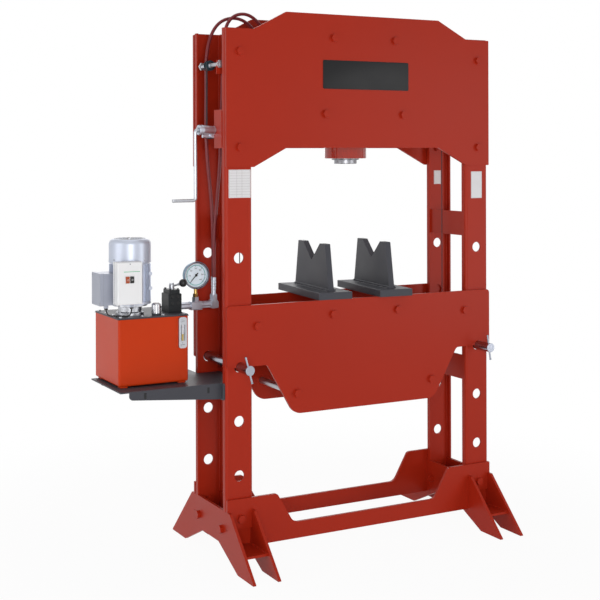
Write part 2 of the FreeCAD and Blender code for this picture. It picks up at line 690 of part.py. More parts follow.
def foot():
    """The right foot: two inverted-V plates, slotted for the ties, with flat webs between their toes."""
    outline = [
        (FOOT_TOE, 0, 3),
        (FOOT_TOP_HALF, FOOT_TOP, 4),
        (-FOOT_TOP_HALF, FOOT_TOP, 4),
        (-FOOT_TOE, 0, 3),
        (-FOOT_HEEL, 0, 6),
        (-FOOT_ARCH_HALF, FOOT_ARCH_TOP, 20),
        (FOOT_ARCH_HALF, FOOT_ARCH_TOP, 20),
        (FOOT_HEEL, 0, 6),
    ]
    outer = HALF_WIDTH - PLATE
    slot_inner = FRAME_HALF_DEPTH - LAP_PLAY
    slot_outer = FRAME_HALF_DEPTH + PLATE + LAP_PLAY
    pieces = []
    for x in (COLUMN_INNER, outer):
        plate = plate_yz(outline, x, x + PLATE)
        for side in (-1, 1):
            y0, y1 = sorted((side * slot_inner, side * slot_outer))
            plate = plate.cut(box(x, x + PLATE, y0, y1, BASE_TAB, FOOT_TOP))
            start = V(x, side * FOOT_BOLT_Y, FOOT_BOLT_Z)
            plate = plate.cut(rod(BOLT_RADIUS, start, start + V(PLATE, 0, 0)))
        pieces.append(plate)
    inner = COLUMN_INNER + PLATE
    for side in (-1, 1):
        y0, y1 = sorted((side * FOOT_WEB_REACH, side * (FRAME_HALF_DEPTH - COLUMN_WALL)))
        pieces.append(box(inner, outer, y0, y1, FOOT_WEB_TOP - FOOT_WEB_THICK, FOOT_WEB_TOP))
        start = V(inner, side * FOOT_BOLT_Y, FOOT_BOLT_Z)
        pieces.append(tube(SPACER_RADIUS, BOLT_RADIUS, start, start + V(outer - inner, 0, 0)))
    return pieces[0].fuse(pieces[1:]).removeSplitter()


def base_bolts():
    bolts = []
    for side in (-1, 1):
        tie_bolt = short_bolt(side * COLUMN_X, BASE_BOLT_Z)
        bolts += [tie_bolt, flip_y(tie_bolt)]
        for y in (-FOOT_BOLT_Y, FOOT_BOLT_Y):
            inner = V(side * COLUMN_INNER, y, FOOT_BOLT_Z)
            bolts.append(bolt(V(side * HALF_WIDTH, y, FOOT_BOLT_Z), inner, inner))
    return bolts


# ---------------------------------------------------------------- shelf and tank
def shelf():
    """A folded shelf: a sheet that runs in between the columns, tapered lips and an end plate."""
    left = -SHELF_REACH
    right = -HALF_WIDTH
    front, rear = SHELF_Y
    under = SHELF_TOP - SHELF_SHEET
    top = box(left, right, front, rear, under, SHELF_TOP)
    tongue = box(right, right + SHELF_TONGUE, front, -front, under, SHELF_TOP)
    lip_outline = [
        (left + SHELF_LIP_INSET, under, 0),
        (left + SHELF_LIP_INSET, SHELF_TOP - SHELF_LIP_OUTER, 15),
        (right, SHELF_TOP - SHELF_LIP_INNER, 0),
        (right, under, 0),
    ]
    lips = [plate_xz(lip_outline, y, y + SHELF_SHEET) for y in (front, rear - SHELF_SHEET)]
    end = box(right - SHELF_END, right, front - SHELF_END_FRONT, rear, SHELF_TOP - SHELF_LIP_INNER, SHELF_TOP)
    return top.fuse(lips + [tongue, end]).removeSplitter()


def tank():
    """A welded sheet tank with rounded edges, standing on four pads."""
    x0, x1 = TANK_X
    y0, y1 = TANK_Y
    bottom = SHELF_TOP + TANK_FOOT
    top = SHELF_TOP + TANK_HEIGHT
    shell = box(x0, x1, y0, y1, bottom, top)
    shell = shell.makeFillet(TANK_CORNER, straight_edges(shell, Z_AXIS) + edges_at_z(shell, bottom))
    wall = TANK_WALL
    shell = shell.cut(box(x0 + wall, x1 - wall, y0 + wall, y1 - wall, bottom + wall, top))
    pads = []
    for x in (x0 + TANK_PAD_INSET, x1 - TANK_PAD_INSET - TANK_PAD):
        for y in (y0 + TANK_PAD_INSET, y1 - TANK_PAD_INSET - TANK_PAD):
            pads.append(box(x, x + TANK_PAD, y, y + TANK_PAD, SHELF_TOP, bottom))
    return shell.fuse(pads).removeSplitter()


def tank_lid():
    """The lid with the filler's neck on it."""
    x0, x1 = TANK_X
    y0, y1 = TANK_Y
    lid = box(x0 - 1, x1 + 1, y0 - 1, y1 + 1, LID_TOP - LID_THICK, LID_TOP)
    lid = lid.makeFillet(TANK_CORNER, straight_edges(lid, Z_AXIS))
    neck = turned([(9, 0), (FILLER_RADIUS, 0), (FILLER_RADIUS, 8), (12, 8), (12, 26), (9, 26)], FILLER)
    return lid.fuse(neck).removeSplitter()


def lid_screws():
    """Screws evenly round the lid's edge, but for the place that the valve block covers."""
    steps = LID_SCREW_SIDE - 1
    x0, x1 = TANK_X[0] + LID_SCREW_INSET, TANK_X[1] - LID_SCREW_INSET
    y0, y1 = TANK_Y[0] + LID_SCREW_INSET, TANK_Y[1] - LID_SCREW_INSET
    screws = []
    for i in range(LID_SCREW_SIDE):
        for j in range(LID_SCREW_SIDE):
            on_edge = i in (0, steps) or j in (0, steps)
            x = x0 + i * (x1 - x0) / steps
            y = y0 + j * (y1 - y0) / steps
            under_valve = x > VALVE_X[0] and VALVE_Y[0] < y < VALVE_Y[1]
            if on_edge and not under_valve:
                screws.append(hexagon(LID_SCREW_FLATS, V(x, y, LID_TOP), V(x, y, LID_TOP + LID_SCREW_HEIGHT)))
    return screws


def sight_gauge():
    """The level gauge's body, with a slot in front for the tube and a screw at each end."""
    front = TANK_Y[0] - SIGHT_DEPTH
    z1 = SHELF_TOP + TANK_HEIGHT - LID_THICK
    z0 = z1 - SIGHT_HEIGHT
    body = box(SIGHT_X - SIGHT_HALF, SIGHT_X + SIGHT_HALF, front, TANK_Y[0], z0, z1)
    body = body.makeFillet(10, straight_edges(body, Y_AXIS))
    slot = 2 * SIGHT_TUBE_RADIUS
    body = body.cut(box(SIGHT_X - slot, SIGHT_X + slot, front, front + 8, z0 + SIGHT_END, z1 - SIGHT_END))
    screws = [rod(8, V(SIGHT_X, front - 4, z), V(SIGHT_X, front, z)) for z in (z0 + 15, z1 - 15)]
    return body.fuse(screws).removeSplitter()


def sight_tube():
    y = TANK_Y[0] - SIGHT_DEPTH + SIGHT_TUBE_RADIUS
    top = SHELF_TOP + TANK_HEIGHT - LID_THICK - SIGHT_END
    length = SIGHT_HEIGHT - 2 * SIGHT_END
    return rod(SIGHT_TUBE_RADIUS, V(SIGHT_X, y, top - length), V(SIGHT_X, y, top))


# ---------------------------------------------------------------- motor and starter
def motor_body():
    """A finned stator frame with two foot bosses on its right."""
    base = V(MOTOR_X, MOTOR_Y, MOTOR_BOTTOM)
    core = rod(MOTOR_RADIUS, base, base + V(0, 0, MOTOR_HEIGHT))
    pieces = [rod(FIN_RADIUS, base, base + V(0, 0, 10))]
    for k in range(FIN_COUNT):
        fin = box(MOTOR_RADIUS - 2, FIN_RADIUS, -FIN_HALF, FIN_HALF, 0, MOTOR_HEIGHT - 6)
        fin.Placement = FreeCAD.Placement(base, FreeCAD.Rotation(Z_AXIS, (k + 0.5) * 360 / FIN_COUNT))
        pieces.append(fin)
    for rise in BOSS_RISES:
        start = base + V(62, -68, rise)
        pieces.append(rod(8, start, start + V(0, 40, 0)))
    return core.fuse(pieces).removeSplitter()


def fan_cover():
    """A pressed cover, domed at the top, open below."""
    base = V(MOTOR_X, MOTOR_Y, FAN_COVER_BOTTOM)
    top = base + V(0, 0, FAN_COVER_HEIGHT)
    outer = rod(FAN_COVER_RADIUS, base, top)
    outer = outer.makeFillet(22, edges_at_z(outer, top.z))
    return outer.cut(rod(FAN_COVER_RADIUS - 2, base, top - V(0, 0, 24)))


def bell_housing():
    """The pump flange between motor and lid."""
    profile = [(30, 0), (56, 0), (56, 10), (48, 14), (48, BELL_HEIGHT - 12), (70, BELL_HEIGHT - 8),
               (70, BELL_HEIGHT), (30, BELL_HEIGHT)]
    return turned(profile, V(MOTOR_X, MOTOR_Y, LID_TOP))


def motor_clearance(radius):
    """The room that what is saddled on the motor leaves round it."""
    top = FAN_COVER_BOTTOM + FAN_COVER_HEIGHT
    return rod(radius + SADDLE_GAP, V(MOTOR_X, MOTOR_Y, LID_TOP), V(MOTOR_X, MOTOR_Y, top))


def terminal_box():
    """A box saddled on the motor's left, with a lid on its outer face."""
    y0, y1 = MOTOR_Y - TERMINAL_HALF, MOTOR_Y + TERMINAL_HALF
    top = TERMINAL_BOTTOM + TERMINAL_HEIGHT
    body = box(-TERMINAL_REACH + TERMINAL_LID, MOTOR_X - TERMINAL_HALF, y0, y1, TERMINAL_BOTTOM, top)
    rim = 1.5
    lid = box(-TERMINAL_REACH, -TERMINAL_REACH + TERMINAL_LID, y0 - rim, y1 + rim,
              TERMINAL_BOTTOM - rim, top + rim)
    lid = lid.makeFillet(4, straight_edges(lid, X_AXIS))
    return body.cut(motor_clearance(FIN_RADIUS)).fuse(lid).removeSplitter()


def switch_box():
    """The starter's box on a saddle against the motor, with a well for each push button."""
    x0, x1 = SWITCH_X
    back = SWITCH_FRONT + SWITCH_DEPTH
    body = box(x0, x1, SWITCH_FRONT, back, SWITCH_BOTTOM, SWITCH_BOTTOM + SWITCH_HEIGHT)
    body = body.makeFillet(5, edges_at_y(body, SWITCH_FRONT))
    saddle = box(x0 + 30, x1, back, MOTOR_Y - TERMINAL_HALF - 1, SWITCH_BOTTOM + 32, SWITCH_BOTTOM + 132)
    body = body.fuse(saddle).cut(motor_clearance(FAN_COVER_RADIUS))
    reach = BUTTON_HALF + BUTTON_PLAY
    reach_z = BUTTON_HALF_HEIGHT + BUTTON_PLAY
    for x in BUTTONS.values():
        well = box(x - reach, x + reach, SWITCH_FRONT, SWITCH_FRONT + 16,
                   BUTTON_Z - reach_z, BUTTON_Z + reach_z)
        body = body.cut(well)
    return body.removeSplitter()


def push_button(x):
    front = SWITCH_FRONT - BUTTON_TRAVEL - 1
    key = box(x - BUTTON_HALF, x + BUTTON_HALF, front, SWITCH_FRONT + 11,
              BUTTON_Z - BUTTON_HALF_HEIGHT, BUTTON_Z + BUTTON_HALF_HEIGHT)
    return key.makeFillet(1.5, edges_at_y(key, front))


def cable_glands():
    """A screwed gland under the terminal box and one under the switch box."""
    ends = [(CABLE_ROUTE[0], TERMINAL_BOTTOM), (CABLE_ROUTE[-1], SWITCH_BOTTOM)]
    return [hexagon(CABLE_FLATS, V(x, y, z), V(x, y, top)) for (x, y, z), top in ends]


# ---------------------------------------------------------------- filler, valve, pipes and gauge
def filler_cap():
    """A chromed breather cap that turns on the neck."""
    skirt = 12.3
    profile = [(skirt, 8.3), (FILLER_RADIUS, 8.3), (FILLER_RADIUS, 42), (FILLER_RADIUS - 2.5, 48), (0, 48),
               (0, 27), (skirt, 27)]
    return turned(profile, FILLER)


def valve_block():
    """The selector valve's two blocks, bored for the pipes."""
    x0, x1 = VALVE_X
    y0, y1 = VALVE_Y
    top = LID_TOP + VALVE_LOWER
    lower = box(x0, x1, y0, y1, LID_TOP, top)
    lower = lower.makeChamfer(2, edges_at_z(lower, top))
    block = lower.fuse(box(x0 + 6, x1 - 6, y0 + 4, y1 - 4, top, top + VALVE_UPPER)).removeSplitter()
    for y in LINE_Y:
        block = block.cut(rod(PIPE_BORE, V(x1 - 20, y, LINE_Z), V(x1, y, LINE_Z)))
    return block


def lever_rod():
    """The sloping rod from the lever's root into the knob."""
    along = (LEVER_KNOB - LEVER_ROOT).normalize()
    return rod(LEVER_RADIUS, LEVER_ROOT, LEVER_KNOB - along * 12)


def valve_lever():
    """A round hub on the selector's spindle with a rod that rises to the knob."""
    hub = rod(11, LEVER + V(0, 0, SADDLE_GAP), LEVER + V(0, 0, 20))
    return hub.fuse(lever_rod()).removeSplitter()


def valve_knob():
    return Part.makeSphere(KNOB_RADIUS, LEVER_KNOB).cut(lever_rod())


def pipe(index):
    """A steel pipe from the valve to its elbow; the first one stops either side of the gauge tee."""
    y = LINE_Y[index]
    whole = tube(PIPE_RADIUS, PIPE_BORE, V(VALVE_X[1], y, LINE_Z), V(ELBOW_X[index] - ELBOW_HALF, y, LINE_Z))
    if index == 0:
        reach = 2 * PIPE_RADIUS
        whole = whole.cut(box(GAUGE_X - TEE_HALF, GAUGE_X + TEE_HALF, y - reach, y + reach,
                              LINE_Z - reach, LINE_Z + reach))
    return whole


def gauge_tee():
    """The tee in the pressure pipe with a hexagon on top for the gauge's nipple."""
    y = LINE_Y[0]
    half = TEE_BODY
    body = box(GAUGE_X - TEE_HALF, GAUGE_X + TEE_HALF, y - half, y + half, LINE_Z - half, LINE_Z + half)
    body = body.makeChamfer(3, straight_edges(body, X_AXIS))
    neck = hexagon(UNION_FLATS, V(GAUGE_X, y, LINE_Z + half), V(GAUGE_X, y, LINE_Z + 36))
    bore = rod(PIPE_BORE, V(GAUGE_X - TEE_HALF, y, LINE_Z), V(GAUGE_X + TEE_HALF, y, LINE_Z))
    return body.fuse(neck).cut(bore).removeSplitter()


def gauge_nipple():
    y = LINE_Y[0]
    lower = hexagon(20, V(GAUGE_X, y, LINE_Z + 36), V(GAUGE_X, y, LINE_Z + 50))
    upper = rod(7, V(GAUGE_X, y, LINE_Z + 50), V(GAUGE_X, y, GAUGE_Z - GAUGE_RADIUS - 0.2))
    return lower.fuse(upper).removeSplitter()


def gauge_case():
    """A cup with a rolled rim, open towards the operator."""
    case = GAUGE_RADIUS - GAUGE_RIM
    lip = DIAL_RADIUS + 0.5
    profile = [(0, GAUGE_DEPTH), (case - 4, GAUGE_DEPTH), (case, GAUGE_DEPTH - 4), (case, 8),
               (GAUGE_RADIUS, 6), (GAUGE_RADIUS, 1), (GAUGE_RADIUS - 1, 0), (lip, 0), (lip, 14), (0, 14)]
    return turned(profile, V(GAUGE_X, GAUGE_FRONT, GAUGE_Z), Y_AXIS)


def gauge_disc(front):
    """The dial or the glass, 2 mm thick."""
    return rod(DIAL_RADIUS, V(GAUGE_X, front, GAUGE_Z), V(GAUGE_X, front + 2, GAUGE_Z))


def gauge_needle():
    """The pointer at zero, down to the left."""
    hub = rod(4, V(GAUGE_X, DIAL_FACE - 5, GAUGE_Z), V(GAUGE_X, DIAL_FACE - 1, GAUGE_Z))
    tip = DIAL_RADIUS - 8
    outline = [(-2.2, -12, 1), (2.2, -12, 1), (0.6, tip, 0.4), (-0.6, tip, 0.4)]
    blade = plate_xz(outline, DIAL_FACE - 3.5, DIAL_FACE - 2)
    blade.Placement = FreeCAD.Placement(V(GAUGE_X, 0, GAUGE_Z), FreeCAD.Rotation(Y_AXIS, -138))
    return hub.fuse(blade).removeSplitter()


def hose_elbows():
    """Elbows at the pipes' ends and the crimped ferrules that the hoses leave from."""
    pieces = []
    for x, y in zip(ELBOW_X, LINE_Y):
        half = TEE_BODY - 2
        body = box(x - ELBOW_HALF, x + half, y - half, y + half, LINE_Z - half, LINE_Z + half)
        body = body.makeChamfer(4, straight_edges(body, Y_AXIS))
        nut = hexagon(UNION_FLATS, V(x, y, LINE_Z + half), V(x, y, LINE_Z + UNION_RISE))
        ferrule = rod(FERRULE_RADIUS, V(x, y, LINE_Z + UNION_RISE), V(x, y, HOSE_START_Z))
        pieces.append(body.fuse([nut, ferrule]).removeSplitter())
    return pieces


def port_fittings():
    """A hexagon on the barrel at each port and the ferrule that the hose starts from."""
    pieces = []
    for z in (PORT_LOW_Z, PORT_TOP_Z):
        nut_end = V(-BARREL_RADIUS - 22, 0, z)
        nut = hexagon(UNION_FLATS, nut_end, V(-BARREL_RADIUS + 2, 0, z))
        ferrule = rod(FERRULE_RADIUS, V(-PORT_REACH, 0, z), nut_end)
        barrel = rod(BARREL_RADIUS, V(0, 0, z - 40), V(0, 0, z + 40))
        pieces.append(nut.fuse(ferrule).removeSplitter().cut(barrel))
    return pieces


# ---------------------------------------------------------------- winch, pulleys and ropes
def winch_bracket():
    """A plate welded to the front left column behind its outer flange."""
    return box(-HALF_WIDTH, -HALF_WIDTH + COLUMN_WALL, COLUMN_DEPTH - FRAME_HALF_DEPTH, WINCH_PLATE_Y,
               DRUM_Z - WINCH_PLATE_BELOW, DRUM_Z + WINCH_PLATE_ABOVE)


def winch_case():
    """The worm gear's casting: a tapered hub for the crank and a bearing neck for the drum."""
    left = CRANK_X + CRANK_BEND + 1
    length = -HALF_WIDTH - left
    hub = turned([(0, 0), (20, 0), (20, 22), (15, length), (0, length)], V(left, WINCH_Y, CRANK_Z), X_AXIS)
    neck_end = -SPOOL_HALF - 2
    neck = rod(17, V(ROLLER_X, WINCH_PLATE_Y, DRUM_Z), V(ROLLER_X, neck_end, DRUM_Z))
    stub = hexagon(16, V(ROLLER_X - 46, -32, DRUM_Z - 8), V(ROLLER_X - 10, -32, DRUM_Z - 8))
    case = hub.fuse([neck, stub]).removeSplitter()
    blind_end = V(ROLLER_X, WINCH_PLATE_Y + 5, DRUM_Z)
    drum_bore = rod(AXLE_RADIUS + RUN_PLAY, blind_end, V(ROLLER_X, neck_end, DRUM_Z))
    crank_end = V(left + length - 5, WINCH_Y, CRANK_Z)
    crank_bore = rod(CRANK_RADIUS + RUN_PLAY, V(left, WINCH_Y, CRANK_Z), crank_end)
    return case.cut(drum_bore).cut(crank_bore)


def spool(bore):
    """The profile of a two-rope spool between its flanges, about its own middle."""
    core = SPOOL_RADIUS - ROPE_RADIUS - 0.3
    inside = SPOOL_HALF - 3
    return [(bore, -SPOOL_HALF), (SPOOL_FLANGE, -SPOOL_HALF), (SPOOL_FLANGE, -inside), (core, -inside),
            (core, inside), (SPOOL_FLANGE, inside), (SPOOL_FLANGE, SPOOL_HALF), (bore, SPOOL_HALF)]


def guide_roller():
    return turned(spool(AXLE_RADIUS + RUN_PLAY), V(ROLLER_X, 0, ROLLER_Z), Y_AXIS)


def winch_drum():
    """The drum and its shaft into the worm gear's casting."""
    shaft = rod(AXLE_RADIUS, V(ROLLER_X, WINCH_PLATE_Y + 6, DRUM_Z), V(ROLLER_X, 0, DRUM_Z))
    return turned(spool(0), V(ROLLER_X, 0, DRUM_Z), Y_AXIS).fuse(shaft).removeSplitter()


def winch_crank():
    """One bent bar: shaft into the worm, arm downwards, and the grip's spindle outwards."""
    start = V(-HALF_WIDTH - 7, WINCH_Y, CRANK_Z)
    top = V(CRANK_X, WINCH_Y, CRANK_Z)
    low = V(CRANK_X, WINCH_Y, CRANK_Z - CRANK_REACH)
    across = V(CRANK_BEND, 0, 0)
    down = V(0, 0, CRANK_BEND)
    crown = CRANK_BEND * (1 - math.sqrt(0.5))
    edges = [
        Part.LineSegment(start, top + across).toShape(),
        Part.Arc(top + across, top + V(crown, 0, -crown), top - down).toShape(),
        Part.LineSegment(top - down, low + down).toShape(),
        Part.Arc(low + down, low + V(-crown, 0, crown), low - across).toShape(),
        Part.LineSegment(low - across, low - V(GRIP_LENGTH, 0, 0)).toShape(),
    ]
    section = Part.Wire([Part.Circle(start, V(-1, 0, 0), CRANK_RADIUS).toShape()])
    return Part.Wire(edges).makePipeShell([section], True, False)


def roller_bracket():
    """A plate welded inside the front left column, with an ear for the guide roller's axle."""
    web = COLUMN_WALL - FRAME_HALF_DEPTH
    rear = EAR_Y + EAR_THICK
    arm = box(ROLLER_X + 18, ROLLER_X + 24, web, rear, ROLLER_Z - 40, ROLLER_Z + 16)
    ear = box(ROLLER_X - 14, ROLLER_X + 18, EAR_Y, rear, ROLLER_Z - 40, ROLLER_Z + 16)
    hole = rod(AXLE_RADIUS, V(ROLLER_X, EAR_Y, ROLLER_Z), V(ROLLER_X, rear, ROLLER_Z))
    return arm.fuse(ear).removeSplitter().cut(hole)


def roller_axle():
    """The roller's axle with a nut on each end and a collar on each side of the roller."""
    axle = rod(AXLE_RADIUS, V(ROLLER_X, -120, ROLLER_Z), V(ROLLER_X, 78, ROLLER_Z))
    pieces = []
    for y in (-116.0, 62.0):
        pieces.append(hexagon(BOLT_FLATS, V(ROLLER_X, y, ROLLER_Z), V(ROLLER_X, y + 12, ROLLER_Z)))
    inner = SPOOL_HALF + 0.5
    for y in (-inner - 4, inner):
        pieces.append(rod(11, V(ROLLER_X, y, ROLLER_Z), V(ROLLER_X, y + 4, ROLLER_Z)))
    return axle.fuse(pieces).removeSplitter()


def lift_pulley(x, lane):
    """A narrow wheel with a V-shaped groove for one rope."""
    bore = AXLE_RADIUS + RUN_PLAY
    rim = PULLEY_RADIUS + 2
    root = PULLEY_RADIUS - ROPE_RADIUS - 0.3
    profile = [(bore, -4), (rim, -4), (rim, -3.4), (root, -2.4),
               (root, 2.4), (rim, 3.4), (rim, 4), (bore, 4)]
    return turned(profile, V(x, lane, LIFT_Z), Y_AXIS)


def pulley_hanger(x, lane, bar_x):
    """A cross bar between the crosshead plates with two cheeks and the pulley's axle."""
    bar_z = LIFT_Z + 40
    pieces = [box(bar_x - 13, bar_x + 13, -FRAME_HALF_DEPTH, FRAME_HALF_DEPTH, bar_z, bar_z + 12)]
    for side in (-1, 1):
        y0, y1 = sorted((lane + side * 14, lane + side * 19))
        pieces.append(box(min(x, bar_x) - 14, max(x, bar_x) + 14, y0, y1, LIFT_Z - 14, bar_z))
    pieces.append(rod(AXLE_RADIUS, V(x, lane - 22, LIFT_Z), V(x, lane + 22, LIFT_Z)))
    return pieces[0].fuse(pieces[1:]).removeSplitter()


def guide_rope(pulley_x, lane):
    """From the drum straight up, over the roller, level to a lift pulley and a quarter turn round it."""
    left = ROLLER_X - SPOOL_RADIUS
    top = ROLLER_Z + SPOOL_RADIUS
    start = V(left, lane, DRUM_Z)
    over = SPOOL_RADIUS * math.sqrt(0.5)
    down = PULLEY_RADIUS * math.sqrt(0.5)
    edges = [
        Part.LineSegment(start, V(left, lane, ROLLER_Z)).toShape(),
        Part.Arc(V(left, lane, ROLLER_Z), V(ROLLER_X - over, lane, ROLLER_Z + over),
                 V(ROLLER_X, lane, top)).toShape(),
        Part.LineSegment(V(ROLLER_X, lane, top), V(pulley_x, lane, top)).toShape(),
        Part.Arc(V(pulley_x, lane, top), V(pulley_x + down, lane, LIFT_Z + down),
                 V(pulley_x + PULLEY_RADIUS, lane, LIFT_Z)).toShape(),
    ]
    section = Part.Wire([Part.Circle(start, Z_AXIS, ROPE_RADIUS).toShape()])
    return Part.Wire(edges).makePipeShell([section], True, False)


def rope_clevis(x, lane):
    """The eye that ties a rope to the table's upper distance tube."""
    z = TABLE_BOLTS[0][1]
    eye = tube(TABLE_SPACER_RADIUS + 6, TABLE_SPACER_RADIUS, V(x, lane - 6, z), V(x, lane + 6, z))
    ferrule = rod(6, V(x, lane, z + TABLE_SPACER_RADIUS + 3), V(x, lane, ROPE_LOW_Z))
    return eye.fuse(ferrule).removeSplitter()


def drop_rope(x, lane):
    """The straight run down to the table's clevis."""
    return rod(ROPE_RADIUS, V(x, lane, ROPE_LOW_Z), V(x, lane, LIFT_Z))


# ---------------------------------------------------------------- bare plates
def panel(place, face_y, thick):
    """A thin plate on the front of face_y."""
    x, z, width, height = place
    return box(x - width / 2, x + width / 2, face_y - thick, face_y, z - height / 2, z + height / 2)


def name_plate():
    plate = panel(NAME_PLATE, -FRAME_HALF_DEPTH - PLATE, NAME_PLATE_THICK)
    return plate.makeFillet(6, straight_edges(plate, Y_AXIS))


def label_panels():
    """Two panels on the front columns and one on the web inside the rear right column."""
    rear_face = FRAME_HALF_DEPTH - COLUMN_WALL
    labels = [(LEFT_LABEL, -FRAME_HALF_DEPTH), (RIGHT_LABEL, -FRAME_HALF_DEPTH), (REAR_LABEL, rear_face)]
    return [panel(place, face, LABEL_THICK) for place, face in labels]


# ---------------------------------------------------------------- the press
def save_frame():
    right = column()
    left = flip_x(right)
    save("column_front_right", right)
    save("column_front_left", left)
    save("column_rear_right", flip_y(right))
    save("column_rear_left", flip_y(left))
    ties = [column_tie(side, span) for side in (-1, 1) for span in TIE_SPANS]
    save("frame_spacers", group(ties + crosshead_spacers()))
    save("crosshead_front", crosshead_plate())
    save("crosshead_rear", flip_y(crosshead_plate()))
    save("frame_bolts", group(crosshead_bolts() + base_bolts()))
    save("base_tie_front", base_tie())
    save("base_tie_rear", flip_y(base_tie()))
    save("foot_right", foot())
    save("foot_left", flip_x(foot()))
    save("name_plate", group([name_plate()] + label_panels()))


def save_cylinder():
    save("cylinder_barrel", cylinder_barrel())
    save("cylinder_ends", group([cylinder_cap(), cylinder_gland()]))
    save("piston_rod", piston_rod())


def save_table():
    save("table_front", table_plate())
    save("table_rear", flip_y(table_plate()))
    clevises = [rope_clevis(-LIFT_X, -ROPE_Y), rope_clevis(LIFT_X, ROPE_Y)]
    save("table_spacers", group(table_spacers() + clevises))
    save("table_bolts", table_bolts())
    save("pin_left", support_pin(-1, PIN_BAR_TILTS[0]))
    save("pin_right", support_pin(1, PIN_BAR_TILTS[1]))
    for name, where in zip(("vee_block_left", "vee_block_right"), VEE_PLACES):
        save(name, vee_block(*where))


def save_power_unit():
    save("shelf", shelf())
    save("tank", tank())
    save("tank_lid", tank_lid())
    save("sight_gauge", sight_gauge())
    save("sight_tube", sight_tube())
    save("motor", motor_body())
    save("fan_cover", fan_cover())
    save("bell_housing", bell_housing())
    save("terminal_box", group([terminal_box()] + cable_glands()))
    save("switch_box", switch_box())
    for name, x in BUTTONS.items():
        save(name, push_button(x))
    save("filler_cap", filler_cap())
    save("valve_block", valve_block())
    save("valve_lever", valve_lever())
    save("valve_knob", valve_knob())
    save("pipes", group([pipe(0), pipe(1), gauge_tee()] + hose_elbows() + port_fittings()))
    save("gauge_nipple", gauge_nipple())
    save("gauge_case", gauge_case())
    save("gauge_dial", gauge_disc(DIAL_FACE))
    save("gauge_glass", gauge_disc(GAUGE_FRONT + 2))
    save("gauge_needle", gauge_needle())
    for name, points in HOSE_ROUTES.items():
        save(name, cord(name, points, HOSE_DIAMETER))
    save("motor_cable", cord("motor_cable", CABLE_ROUTE, CABLE_DIAMETER))


def save_winch():
    left_hanger = pulley_hanger(PULLEY_X[0], -ROPE_Y, -LIFT_X + 2)
    right_hanger = pulley_hanger(PULLEY_X[1], ROPE_Y, PULLEY_X[1])
    save("rope_brackets", group([winch_bracket(), roller_bracket(), left_hanger, right_hanger]))
    save("zinc_fasteners", group(lid_screws() + [roller_axle()]))
    save("winch_case", winch_case())
    save("winch_drum", winch_drum())
    save("winch_crank", winch_crank())
    save("guide_roller", guide_roller())
    save("lift_pulley_left", lift_pulley(PULLEY_X[0], -ROPE_Y))
    save("lift_pulley_right", lift_pulley(PULLEY_X[1], ROPE_Y))
    save("guide_ropes", group([guide_rope(PULLEY_X[0], -ROPE_Y), guide_rope(PULLEY_X[1], ROPE_Y)]))
    save("rope_left", drop_rope(-LIFT_X, -ROPE_Y))
    save("rope_right", drop_rope(LIFT_X, ROPE_Y))


def build():
    os.makedirs("parts", exist_ok=True)
    save_frame()
    save_cylinder()
    save_table()
    save_power_unit()
    save_winch()


build()
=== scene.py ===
"""Looks of a four-column workshop press with its power unit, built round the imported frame."""
import math

import bpy
from mathutils import Euler, Matrix, Vector


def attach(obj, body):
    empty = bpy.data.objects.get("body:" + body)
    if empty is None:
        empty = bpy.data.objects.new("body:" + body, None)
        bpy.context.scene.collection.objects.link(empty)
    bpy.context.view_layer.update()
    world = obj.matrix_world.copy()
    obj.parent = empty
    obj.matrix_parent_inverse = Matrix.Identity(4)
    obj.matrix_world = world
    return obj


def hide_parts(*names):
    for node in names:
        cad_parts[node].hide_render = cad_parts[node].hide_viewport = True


bl_info = {
    "name": "Workshop Press Looks",
    "version": (1, 0, 0),
    "blender": (4, 5, 0),
    "location": "View3D > Sidebar > Press",
    "description": "Finishes, hoses, dial, plates, welds and small parts of a hydraulic workshop press",
    "category": "Object",
}

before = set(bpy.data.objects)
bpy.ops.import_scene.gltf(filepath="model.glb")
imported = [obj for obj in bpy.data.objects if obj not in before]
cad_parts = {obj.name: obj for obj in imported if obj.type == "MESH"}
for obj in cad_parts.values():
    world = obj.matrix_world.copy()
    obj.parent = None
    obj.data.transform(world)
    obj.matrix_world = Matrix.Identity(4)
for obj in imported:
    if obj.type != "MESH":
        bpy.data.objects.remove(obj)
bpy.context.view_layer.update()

MM = 0.001
AXIS_X = 0.2275             # the ram axis in the frame, in metres
SMOOTH = 35                 # degrees between faces that are shaded as one
FINE = 96                   # sides of the large turned pieces
SMALL = 24                  # and of the small ones


def place(x, y, z):
    """A point measured from the ram axis and the floor in millimetres, in the frame's metres."""
    return Vector((x * MM + AXIS_X, y * MM, z * MM))


# -------------------- settings
def colour_setting(name, description, default):
    return bpy.props.FloatVectorProperty(name=name, description=description, subtype="COLOR", size=3,
                                         min=0, max=1, default=default)


class PressPaintSettings(bpy.types.PropertyGroup):
    red: colour_setting("Frame red", "Colour of the columns, plates and feet", (0.405, 0.022, 0.006))
    tank: colour_setting("Tank red", "Colour of the oil tank", (0.58, 0.042, 0.004))
    dark: colour_setting("Dark grey", "Colour of the V-blocks, shelf and tank lid", (0.050, 0.051, 0.062))
    motor: colour_setting("Motor grey", "Colour of the motor and its fan cover", (0.54, 0.58, 0.68))
    box: colour_setting("Terminal box grey", "Colour of the terminal box", (0.36, 0.38, 0.45))


def length_setting(name, description, default, low, high):
    return bpy.props.FloatProperty(name=name, description=description, default=default, min=low, max=high,
                                   unit="LENGTH")


def angle_setting(name, description, degrees):
    return bpy.props.FloatProperty(name=name, description=description, default=math.radians(degrees),
                                   subtype="ANGLE")


class PressHoseSettings(bpy.types.PropertyGroup):
    diameter: length_setting("Hose diameter", "Outside diameter of both hoses", 0.014, 0.006, 0.03)
    cable: length_setting("Cable diameter", "Outside diameter of the motor's cable", 0.006, 0.003, 0.02)


